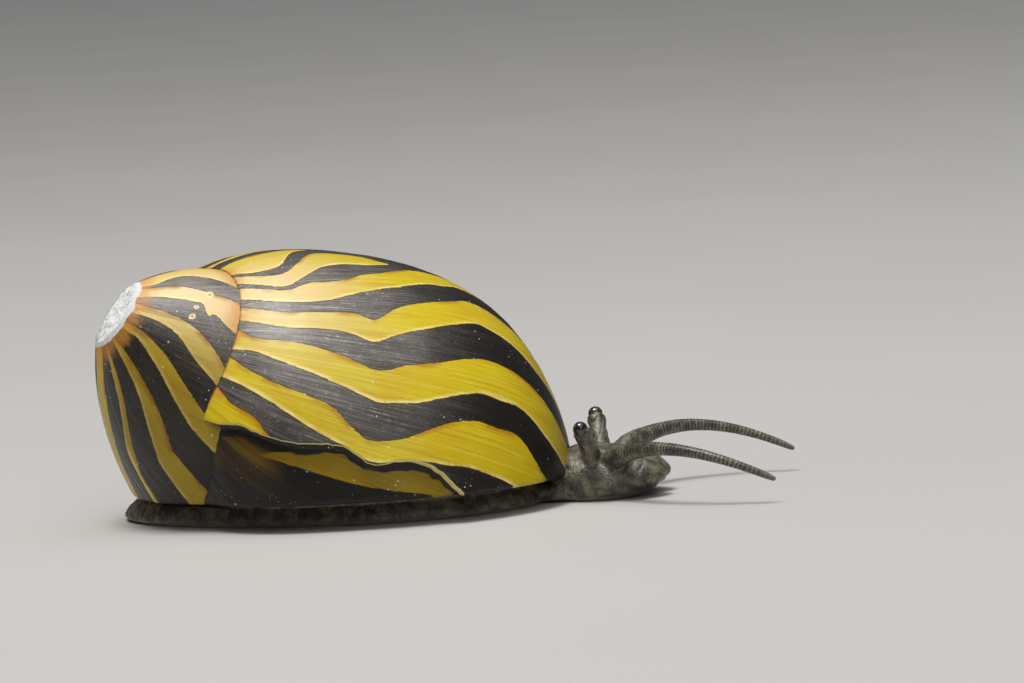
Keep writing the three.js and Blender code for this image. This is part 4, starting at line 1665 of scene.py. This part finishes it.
    def build_deck(self, reach: Callable[[np.ndarray], np.ndarray]) -> BMesh:
        """Builds the porcelain ceiling inside the rim, facing down.

        Args:
            reach: Gives how far the rim reaches in a direction, in metres.

        Returns:
            The ceiling.
        """

        def place(across: np.ndarray, along: np.ndarray) -> np.ndarray:
            """Places the ceiling's points."""
            share, direction = disc_shares(across, along)
            radius = share * (reach(direction) - self.deck_margin)
            height = self.rim_height + (self.deck_height - self.deck_sag * share**4) * MM
            return np.stack([radius * np.cos(direction), radius * np.sin(direction), height], axis=1)

        mesh = moulded_grid(self.deck_faces, self.deck_faces, place)
        face_towards(mesh, (0.0, 0.0, -1.0))
        one = np.ones(len(mesh.verts))
        plain = dict.fromkeys(("growth", "amber", "pale", "turn", "young", "silver", "film"), 0 * one)
        add_values(mesh, angle=90 * one, inner=one, dark=-one, past_lip=-one, **plain)
        add_values(mesh, begins=FAR * one, ends=FAR * one, wear=FAR * one)
        return mesh

    def build_worn_tip(self, mesh: BMesh) -> BMesh:
        """Builds the pitted patch where the tip has worn off.

        Args:
            mesh: The trimmed sheet, whose upper border the patch fills.

        Returns:
            The patch.
        """
        middle, facing = self.coil.worn_plane()
        beside = np.cross(facing, (0.0, 0.0, 1.0))
        beside /= np.linalg.norm(beside)
        above = np.cross(beside, facing)
        border = np.array([vert.co for vert in mesh.verts if vert.is_boundary]) - middle
        border = border[np.abs(border @ facing) < self.patch_border_slack] / MM
        border = border[np.linalg.norm(border, axis=1) < 2 * self.coil.worn_radius]
        bearing = np.arctan2(border @ above, border @ beside)
        reach = np.hypot(border @ above, border @ beside)

        def place(across: np.ndarray, along: np.ndarray) -> np.ndarray:
            """Places the patch's points."""
            share, direction = disc_shares(across, along)
            edge = np.interp(direction, bearing, reach, period=math.tau) + self.patch_overlap
            radius = share * edge
            x, y = radius * np.cos(direction), radius * np.sin(direction)
            pitted = sum(
                depth * np.array([noise.noise((a * scale, b * scale, layer)) for a, b in zip(x, y)])
                for scale, layer, depth in self.pits
            )
            lift = pitted * (1 - share**6) + self.patch_lift - self.patch_drop * share**8
            groove = np.sin(self.groove_pitch * radius - direction) * (1 - share**4) * share
            height = (lift - self.groove_depth * groove)[:, None] * facing
            return middle + (x[:, None] * beside + y[:, None] * above + height) * MM

        mesh = moulded_grid(self.patch_faces, self.patch_faces, place)
        bmesh.ops.remove_doubles(mesh, verts=mesh.verts, dist=self.patch_merging)
        face_towards(mesh, self.coil.axis)
        return mesh

    def build(self, shelf: EffectShelf) -> list[Object]:
        """Builds and dresses the shell's pieces.

        Args:
            shelf: The shared effects.

        Returns:
            The pieces.
        """
        sheet = self.build_sheet()
        self.face_outwards(sheet)
        self.weather(sheet)
        self.trim(sheet)
        reach = self.outline(sheet)
        patch = self.build_worn_tip(sheet)
        self.roll_rim(sheet)
        striped = ShellFinish().material(shelf, self.coil)
        coil_piece = finished_piece("shell_coil", sheet, striped)
        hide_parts("shell")
        deck = finished_piece("shell_deck", self.build_deck(reach), striped)
        worn = finished_piece("worn_tip", patch, ChalkFinish().material())
        return [coil_piece, deck, worn]


@dataclass
class Feeler:
    """One side's feeler and eyestalk, with their centre lines in millimetres.

    The feeler's bend and end lie ahead of its root and out to the side by shares of its length,
    at heights of their own. A swell has its size, its middle and its width along the stem.
    """

    side: int
    length: float = 9.4
    root: Triple = (13.0, 1.5, 1.75)
    bend: Triple = (0.3, 0.5, 3.9)
    end: Triple = (0.9, 0.46, 1.1)
    root_radius: float = 0.5
    tip_radius: float = 0.17
    taper: float = 0.8
    root_swell: Triple = (0.25, 0.12, 0.1)
    stalk_root: Triple = (12.45, 1.5, 1.6)
    stalk_end: Triple = (12.1, 2.75, 3.15)
    stalk_radii: tuple[float, float] = (0.52, 0.36)
    eye_radius: float = 0.36
    eye_gap: float = 0.3
    cup_height: float = 0.30
    cup_swell: Triple = (0.10, 0.90, 0.13)
    faces_round: int = 16
    feeler_rings: int = 60
    stalk_rings: int = 32
    eye_faces: tuple[int, int] = (32, 24)
    small_step: float = 1e-3
    least_width: float = 1e-6

    def feeler_line(self, share: np.ndarray) -> np.ndarray:
        """Gives points of the feeler's centre line in millimetres."""
        x, y, _ = self.root
        bend, end = (
            np.array([x + self.length * ahead, self.side * (y + self.length * out), height])
            for ahead, out, height in (self.bend, self.end)
        )
        start = np.array(self.root) * (1, self.side, 1)
        at = np.asarray(share)[:, None]
        return (1 - at) ** 2 * start + 2 * at * (1 - at) * bend + at**2 * end

    def stalk_line(self, share: np.ndarray) -> np.ndarray:
        """Gives points of the eyestalk's centre line in millimetres."""
        start = np.array(self.stalk_root) * (1, self.side, 1)
        end = np.array(self.stalk_end) * (1, self.side, 1)
        at = np.asarray(share)[:, None]
        return start + (end - start) * at

    def cup_line(self, share: np.ndarray) -> np.ndarray:
        """Gives points of the eyestalk's centre line on into the cup that holds the eye."""
        reach = np.linalg.norm(np.array(self.stalk_end) - np.array(self.stalk_root))
        return self.stalk_line(share * (1 + (self.eye_gap + self.cup_height) / reach))

    def rod(
        self,
        line: Callable[[np.ndarray], np.ndarray],
        radius: Callable[[np.ndarray], np.ndarray],
        rings: int,
    ) -> BMesh:
        """Builds a closed round stem along a centre line.

        Args:
            line: The centre line.
            radius: The radius in millimetres at shares along it.
            rings: Faces along it.

        Returns:
            The stem.
        """

        def place(ball: np.ndarray) -> np.ndarray:
            """Places the stem's points."""
            share = (1 - ball[:, 2]) / 2
            centre = line(share)
            ahead = line(share + self.small_step) - line(share - self.small_step)
            ahead /= np.linalg.norm(ahead, axis=1, keepdims=True)
            beside = np.cross(np.array([0.0, 0.0, 1.0]), ahead)
            beside /= np.linalg.norm(beside, axis=1, keepdims=True)
            above = np.cross(ahead, beside)
            flat = np.hypot(ball[:, 0], ball[:, 1])
            full = np.sqrt(np.clip(1 - (1 - flat) ** 4, 0, 1)) / np.maximum(flat, self.least_width)
            across = ball[:, :1] * (full * radius(share))[:, None]
            upright = ball[:, 1:2] * (full * radius(share))[:, None]
            return (centre + across * beside + upright * above) * MM

        return moulded_ball(self.faces_round, rings, place)

    def build_stems(self) -> list[BMesh]:
        """Builds the feeler and the eyestalk, both rooted inside the snout."""

        def feeler_radius(share: np.ndarray) -> np.ndarray:
            """Tapers the feeler and swells it a little at its root."""
            thin = self.root_radius + (self.tip_radius - self.root_radius) * share**self.taper
            return thin * (1 + swell(share, *self.root_swell))

        def stalk_radius(share: np.ndarray) -> np.ndarray:
            """Tapers the eyestalk and widens its end into a cup."""
            wide, narrow = self.stalk_radii
            return wide + (narrow - wide) * share + swell(share, *self.cup_swell)

        return [
            self.rod(self.feeler_line, feeler_radius, self.feeler_rings),
            self.rod(self.cup_line, stalk_radius, self.stalk_rings),
        ]

    def build_eye(self) -> BMesh:
        """Builds the eye, a bead that sits in the stalk's end."""
        end = self.stalk_line(np.array([1.0]))[0]
        ahead = end - self.stalk_line(np.array([0.0]))[0]
        ahead /= np.linalg.norm(ahead)
        centre = end + ahead * (self.eye_gap + self.eye_radius)

        def place(ball: np.ndarray) -> np.ndarray:
            """Places the bead's points."""
            return (centre + ball * self.eye_radius) * MM

        mesh = moulded_ball(*self.eye_faces, place)
        outwards = (spots_of(mesh) / MM - centre) @ ahead / self.eye_radius
        add_values(mesh, ring=1 - outwards)
        return mesh


@dataclass
class SoftBody:
    """The soft body: one skin over the foot, the mantle, the head, the feelers and the eyestalks.

    Sizes are in millimetres. The forms are moulded from balls of radius 1. A field with a start,
    end, front, rise or widening in its name says where on the ball that begins and where it is
    whole. A frill has its size, count and start, and a grain its width and height.
    """

    feelers: tuple[Feeler, Feeler] = (Feeler(1), Feeler(-1))
    foot_half_length: float = 11.2
    foot_half_width: float = 7.9
    foot_back: float = 0.76
    foot_front: float = 0.92
    foot_widening: tuple[float, float] = (-1.0, 0.6)
    foot_bluntness: float = 0.1
    foot_fullness: tuple[float, float] = (0.35, 0.8)
    foot_frills: tuple[Triple, ...] = ((0.010, 17.0, 0.0), (0.006, 31.0, 1.0))
    sole_share: float = 0.965
    foot_start: float = 0.12
    foot_edge: float = 1.0
    foot_edge_rounding: float = 0.06
    foot_crown: float = 1.3
    foot_rise: tuple[float, float] = (0.05, 0.4)
    head_length: float = 4.6
    head_width: float = 5.4
    head_height: float = 2.7
    # The ball's own reach and how far its middle is moved, as shares of the head's sizes.
    head_ahead: tuple[float, float] = (0.72, 0.28)
    head_above: tuple[float, float] = (0.62, 0.38)
    # By how much, where it begins and where it is whole.
    head_broadening: Triple = (0.12, 0.1, 0.8)
    head_lowering: Triple = (0.38, -0.4, 0.9)
    brow: float = 11.4
    notch: float = 0.55
    notch_width: float = 0.20
    mouth_depth: float = 0.32
    # Its level, height and half width.
    mouth_slit: Triple = (-0.40, 0.11, 0.42)
    mouth_front: tuple[float, float] = (0.35, 0.75)
    furrow: float = 0.24
    furrow_width: float = 0.13
    furrow_start: tuple[float, float] = (-0.5, 0.2)
    cheek: float = 0.20
    cheek_place: tuple[float, float] = (0.52, 0.20)
    cheek_stretch: tuple[float, ...] = (-0.2, 0.5, 0.75, 1.0)
    fold: float = 0.02
    # The folds' waves lengthways and outwards, and their bend with its own waves.
    fold_waves: tuple[float, ...] = (24.0, 7.0, 2.2, 6.0, 3.0)
    fold_end: tuple[float, float] = (0.1, 0.6)
    neck_half: Triple = (2.6, 2.3, 0.5)
    neck_middle: Triple = (10.3, 0.0, 0.5)
    neck_boxiness: float = 0.6
    mouth_top: float = 3.2
    mantle_sunk: float = 0.25
    feeler_steps: int = 120
    feeler_first_step: int = 18
    feeler_reach: float = 1.5
    crease_stretch: Triple = (1.5, 0.55, 0.9)
    crease_width: float = 0.085
    crease_depth: float = 0.045
    crease_power: float = 1.5
    crease_lowest: float = 0.25
    grain_lowest: float = 0.12
    grains: tuple[tuple[float, float], ...] = ((0.5, 0.020), (0.2, 0.012))
    feeler_smoothness: tuple[float, float] = (1.6, 0.15)
    # The lips' middle height and reach, and how far behind the snout's front they lie.
    lip_height: tuple[float, float] = (0.62, 0.34)
    lip_front: tuple[float, float] = (0.9, 0.1)
    lip_half_width: float = 1.7
    sole_fade: tuple[float, float] = (0.02, 0.5)
    voxel: float = 0.075
    softening: float = 0.5
    soft_rounds: int = 5
    kept_share: float = 0.5
    merging: float = 0.001
    foot_faces: tuple[int, int] = (128, 48)
    head_faces: tuple[int, int] = (96, 72)
    neck_faces: tuple[int, int] = (32, 20)
    flesh_nodes: tuple[str, ...] = (
        "mantle",
        "foot",
        "head",
        *(f"tentacle_left_{part}" for part in (1, 2, 3)),
        *(f"tentacle_right_{part}" for part in (1, 2, 3)),
        "eyestalk_left",
        "eyestalk_right",
    )

    def build_foot(self) -> BMesh:
        """Builds the flat sole with its thin, slightly frilled edge."""

        def place(ball: np.ndarray) -> np.ndarray:
            """Places the foot's points."""
            x, y, z = ball.T
            flat = np.hypot(x, y)
            direction = np.arctan2(y, x)
            frill = 1 + sum(
                size * np.sin(count * direction + start) for size, count, start in self.foot_frills
            )
            top, under = self.foot_fullness
            share = np.where(z > 0, flat**top, flat**under * self.sole_share)
            along = share * np.cos(direction)
            across = share * np.sin(direction) * frill
            widening = smooth_share(along, *self.foot_widening)
            width = self.foot_back + (self.foot_front - self.foot_back) * widening
            blunt = np.where(along > 0, along * (1 - self.foot_bluntness * np.abs(along) ** 3), along)
            edge = np.clip((1 - share) / self.foot_edge_rounding, 0, 1) ** 0.5 * self.foot_edge
            rise = (self.foot_crown - self.foot_edge) * smooth_share(1 - share, *self.foot_rise)
            start = self.foot_start
            height = np.where(z > 0, start + (edge + rise) * (1 - start / self.foot_edge), 0.0)
            return np.stack(
                [blunt * self.foot_half_length, across * width * self.foot_half_width, height], axis=1
            ) * MM

        return moulded_ball(*self.foot_faces, place)

    def build_head(self) -> BMesh:
        """Builds the broad two-lobed snout with its furrow, cheeks and mouth slit."""

        def place(ball: np.ndarray) -> np.ndarray:
            """Places the snout's points."""
            x, y, z = ball.T
            top = np.sqrt(np.maximum(z, 0))
            notch = np.maximum(x, 0) ** 2 * swell(y, self.notch, 0.0, self.notch_width)
            level, slit_height, slit_width = self.mouth_slit
            slit = swell(z, self.mouth_depth, level, slit_height) * swell(y, 1.0, 0.0, slit_width)
            slit *= smooth_share(x, *self.mouth_front)
            furrow = swell(y, self.furrow, 0.0, self.furrow_width)
            furrow *= smooth_share(x, *self.furrow_start) * top
            cheek = swell(np.abs(y), self.cheek, *self.cheek_place)
            cheek *= stretch_share(x, *self.cheek_stretch) * top
            lengthways, outwards, bend, bend_across, bend_along = self.fold_waves
            bent = bend * np.sin(bend_across * y + bend_along * x)
            fold = self.fold * np.sin(lengthways * x + outwards * np.abs(y) + bent)
            fold *= top * (1 - smooth_share(x, *self.fold_end))
            more, *broad_reach = self.head_broadening
            broad = 1 + more * smooth_share(x, *broad_reach)
            less, *low_reach = self.head_lowering
            low = 1 - less * smooth_share(x, *low_reach)
            ahead, nose = (share * self.head_length for share in self.head_ahead)
            above, chin = (share * self.head_height for share in self.head_above)
            height = z * above * low + chin - furrow + cheek + fold
            spots = [
                x * ahead - notch - slit + self.brow + nose,
                y * self.head_width / 2 * broad,
                np.maximum(height, 0.0),
            ]
            return np.stack(spots, axis=1) * MM

        return moulded_ball(*self.head_faces, place)

    def build_neck(self) -> BMesh:
        """Builds the low neck that joins the snout to the foot under the rim."""

        def place(ball: np.ndarray) -> np.ndarray:
            """Places the neck's points."""
            boxy = np.sign(ball) * np.abs(ball) ** self.neck_boxiness
            return (boxy * self.neck_half + self.neck_middle) * MM

        return moulded_ball(*self.neck_faces, place)

    def build_mantle(self) -> BMesh:
        """Builds the mantle from its solid's own outline, sunk onto the foot and cut level above."""
        mesh = bmesh.new()
        mesh.from_mesh(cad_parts["mantle"].data)
        bmesh.ops.remove_doubles(mesh, verts=mesh.verts, dist=self.merging * MM)
        cut = bmesh.ops.bisect_plane(
            mesh,
            geom=everything_in(mesh),
            plane_co=(0, 0, self.mouth_top * MM),
            plane_no=(0, 0, -1),
            clear_inner=True,
        )
        rim = [item for item in cut["geom_cut"] if isinstance(item, bmesh.types.BMEdge)]
        bmesh.ops.contextual_create(mesh, geom=rim)
        lowest = min(vert.co.z for vert in mesh.verts)
        lift = (self.foot_crown - self.mantle_sunk) * MM - lowest
        bmesh.ops.translate(mesh, verts=mesh.verts, vec=(0, 0, lift))
        return mesh

    def joined(self, forms: list[BMesh]) -> Object:
        """Joins closed forms into one object.

        Args:
            forms: The forms, which are used up.

        Returns:
            The object, not yet one surface.
        """
        whole = bmesh.new()
        for form in forms:
            data = mesh_data("form", form)
            whole.from_mesh(data)
            bpy.data.meshes.remove(data)
        return placed_object("soft_body_forms", mesh_data("soft_body", whole))

    def grown_together(self, lump: Object) -> BMesh:
        """Makes one surface of overlapping forms and softens where they meet.

        Args:
            lump: The joined forms, which are removed.

        Returns:
            The skin's mesh.
        """
        remesh = lump.modifiers.new("one_skin", "REMESH")
        remesh.mode = "VOXEL"
        remesh.voxel_size = self.voxel * MM
        soften = lump.modifiers.new("soften", "SMOOTH")
        soften.factor = self.softening
        soften.iterations = self.soft_rounds
        thin = lump.modifiers.new("fewer_faces", "DECIMATE")
        thin.ratio = self.kept_share
        evaluated = lump.evaluated_get(bpy.context.evaluated_depsgraph_get())
        mesh = bmesh.new()
        mesh.from_mesh(evaluated.to_mesh())
        evaluated.to_mesh_clear()
        old_data = lump.data
        bpy.data.objects.remove(lump)
        bpy.data.meshes.remove(old_data)
        return mesh

    def mark(self, mesh: BMesh) -> None:
        """Settles the sole on the floor, roughens the skin and stores where its markings go."""
        mesh.normal_update()
        feeler = self.along_feelers(spots_of(mesh) / MM)
        creases = []
        steepness, least = self.feeler_smoothness
        for vert, along_feeler in zip(mesh.verts, feeler):
            spot = vert.co / MM
            stretched = Vector([value * scale for value, scale in zip(spot, self.crease_stretch)])
            crease = max(0.0, 1.0 - abs(noise.noise(stretched)) / self.crease_width)
            crease = 0.0 if along_feeler > 0 or spot.z < self.crease_lowest else crease
            if spot.z > self.grain_lowest:
                share = max(least, 1.0 - steepness * along_feeler)
                grain = sum(noise.noise(spot / width) * height for width, height in self.grains)
                vert.co += vert.normal * (grain * share - self.crease_depth * crease**self.crease_power) * MM
            creases.append(crease**2)
            vert.co.z = max(vert.co.z, 0.0)
        x, y, z = spots_of(mesh).T / MM
        front = self.brow + self.head_length
        lips = swell(z, 1.0, *self.lip_height) * swell(y, 1.0, 0.0, self.lip_half_width)
        lips *= smooth_share(x, *(front - back for back in self.lip_front)) * (feeler == 0)
        sole = 1 - smooth_share(z, *self.sole_fade)
        add_values(mesh, feeler=feeler, sole=sole, crease=np.array(creases), lips=lips)

    def along_feelers(self, spots: np.ndarray) -> np.ndarray:
        """Gives how far along a feeler each point lies, from 0 to 1, and 0 off the feelers."""
        found = np.zeros(len(spots))
        steps = np.linspace(0.0, 1.0, self.feeler_steps)
        for side in self.feelers:
            line = side.feeler_line(steps)
            gaps = np.linalg.norm(spots[:, None, :] - line[None, :, :], axis=2)
            nearest = gaps.argmin(axis=1)
            close = gaps[np.arange(len(spots)), nearest] < side.root_radius * self.feeler_reach
            found = np.where(close & (nearest > self.feeler_first_step), steps[nearest], found)
        return found

    def build(self, shelf: EffectShelf) -> list[Object]:
        """Builds and dresses the skin, the eyes and the lid.

        Args:
            shelf: The shared effects.

        Returns:
            The new pieces, without the lid, which is the solid itself.
        """
        forms = [self.build_foot(), self.build_head(), self.build_neck(), self.build_mantle()]
        for side in self.feelers:
            forms.extend(side.build_stems())
        mesh = self.grown_together(self.joined(forms))
        self.mark(mesh)
        skin = finished_piece("soft_body", mesh, SkinFinish().material(shelf))
        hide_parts(*self.flesh_nodes)
        pieces = [skin]
        bead = EyeFinish().material()
        for side, name in zip(self.feelers, ("eye_left", "eye_right")):
            eye = finished_piece(f"{name}_bead", side.build_eye(), bead)
            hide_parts(name)
            pieces.append(eye)
        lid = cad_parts["operculum"]
        lid.data.materials.clear()
        lid.data.materials.append(LidFinish().material(shelf))
        return pieces


@dataclass(frozen=True)
class Viewpoint:
    """Where the picture is taken from, in millimetres, degrees and picture points."""

    azimuth: float = 10.0
    elevation: float = 6.0
    roll: float = 4.0
    aim: Triple = (0.4, -4.4, 5.8)
    distance: float = 240.0
    aim_point: tuple[float, float] = (335.0, 400.0)
    picture: tuple[float, float] = (1024.0, 683.0)
    focal_points: float = 5000.0
    sensor: float = 36.0
    clip: tuple[float, float] = (0.005, 20.0)

    def place(self) -> None:
        """Makes the camera that frames the part as the picture does."""
        azimuth, elevation, roll = (
            math.radians(value) for value in (self.azimuth, self.elevation, self.roll)
        )
        level = Vector((math.cos(azimuth), math.sin(azimuth), 0.0))
        ahead = Vector(
            (
                -math.sin(azimuth) * math.cos(elevation),
                math.cos(azimuth) * math.cos(elevation),
                -math.sin(elevation),
            )
        )
        upright = level.cross(ahead)
        up = math.cos(roll) * upright + math.sin(roll) * level
        right = math.cos(roll) * level - math.sin(roll) * upright
        spot = (Vector(self.aim) - self.distance * ahead) * MM
        across = (self.aim_point[0] - self.picture[0] / 2) / self.focal_points
        above = (self.picture[1] / 2 - self.aim_point[1]) / self.focal_points
        ahead = (ahead - across * right - above * up).normalized()
        right = (right - right.dot(ahead) * ahead).normalized()
        up = right.cross(ahead)
        data = bpy.data.cameras.new("view")
        data.sensor_fit = "HORIZONTAL"
        data.sensor_width = self.sensor
        data.lens = self.focal_points / self.picture[0] * self.sensor
        data.clip_start, data.clip_end = self.clip
        camera = placed_object("view", data)
        turned = Matrix((right, up, -ahead)).transposed().to_4x4()
        camera.matrix_world = Matrix.Translation(spot) @ turned
        bpy.context.scene.camera = camera


@dataclass(frozen=True)
class Lamp:
    """A soft square light, in metres and watts."""

    name: str
    spot: Triple
    size: float
    power: float
    aim: Triple = (0.0, 0.0, 0.006)
    tint: Triple = (1.0, 1.0, 1.0)

    def hang(self) -> None:
        """Makes the light and turns it towards what it lights."""
        data = bpy.data.lights.new(self.name, "AREA")
        data.size = self.size
        data.energy = self.power
        data.color = self.tint
        lamp = placed_object(self.name, data)
        away = Vector(self.spot) - Vector(self.aim)
        lamp.rotation_euler = away.to_track_quat("Z", "Y").to_euler()
        lamp.location = self.spot


@dataclass(frozen=True)
class Studio:
    """The plain pale floor and the soft light."""

    floor_size: float = 24.0
    floor_faces: int = 8
    floor_colour: Colour = (0.50, 0.495, 0.485, 1)
    floor_clouds: Mottle = Mottle(0.02, 2.0, 0.3, 0.7, 0.97, 1.0)
    floor_roughness: float = 0.75
    sky: Colour = (0.90, 0.94, 1.0, 1)
    sky_strength: float = 0.10
    lamps: tuple[Lamp, ...] = (
        Lamp("ceiling", (0.1, -0.3, 3.0), 3.4, 52.0, tint=(1.0, 0.98, 0.95)),
        Lamp("overhead", (-0.06, -0.07, 0.42), 0.16, 1.35, tint=(1.0, 0.98, 0.95)),
        Lamp("front", (0.16, -0.40, 0.30), 0.25, 0.35, tint=(1.0, 0.99, 0.97)),
    )

    def build(self) -> None:
        """Lays the floor and hangs the lights."""
        mesh = bmesh.new()
        faces = self.floor_faces
        bmesh.ops.create_grid(mesh, x_segments=faces, y_segments=faces, size=self.floor_size / 2)
        floor = placed_object("floor", mesh_data("floor", mesh))
        material, wiring, shader = new_material("pale_floor")
        clouds = wiring.mottle(wiring.place_mm(), self.floor_clouds)
        colour = wiring.blend(1.0, self.floor_colour, clouds, mode="MULTIPLY")
        wiring.feed(shader, {"Base Color": colour, "Roughness": self.floor_roughness})
        floor.data.materials.append(material)
        floor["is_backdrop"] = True
        world = bpy.data.worlds.new("soft_sky")
        world.use_nodes = True
        background = world.node_tree.nodes["Background"]
        background.inputs["Color"].default_value = self.sky
        background.inputs["Strength"].default_value = self.sky_strength
        bpy.context.scene.world = world
        for lamp in self.lamps:
            lamp.hang()
        bpy.context.scene.view_settings.view_transform = "Standard"


def plain(box: object) -> list[list[float]]:
    """Turns a box's corners into plain lists of numbers."""
    return [[float(value) for value in corner] for corner in box]


def main() -> None:
    """Builds the snail, the studio and the view, and reports the pieces."""
    logging.basicConfig(level=logging.INFO, format="%(message)s")
    shelf = EffectShelf()
    coil = Coil()
    pieces = Shell(coil, Pattern(coil)).build(shelf)
    pieces += SoftBody().build(shelf)
    Studio().build()
    Viewpoint().place()
    LOG.info("%d pieces", len(pieces))
    {"cad": plain(CAD_BOX), "visual": plain(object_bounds())}


if __name__ == "__main__":
    main()
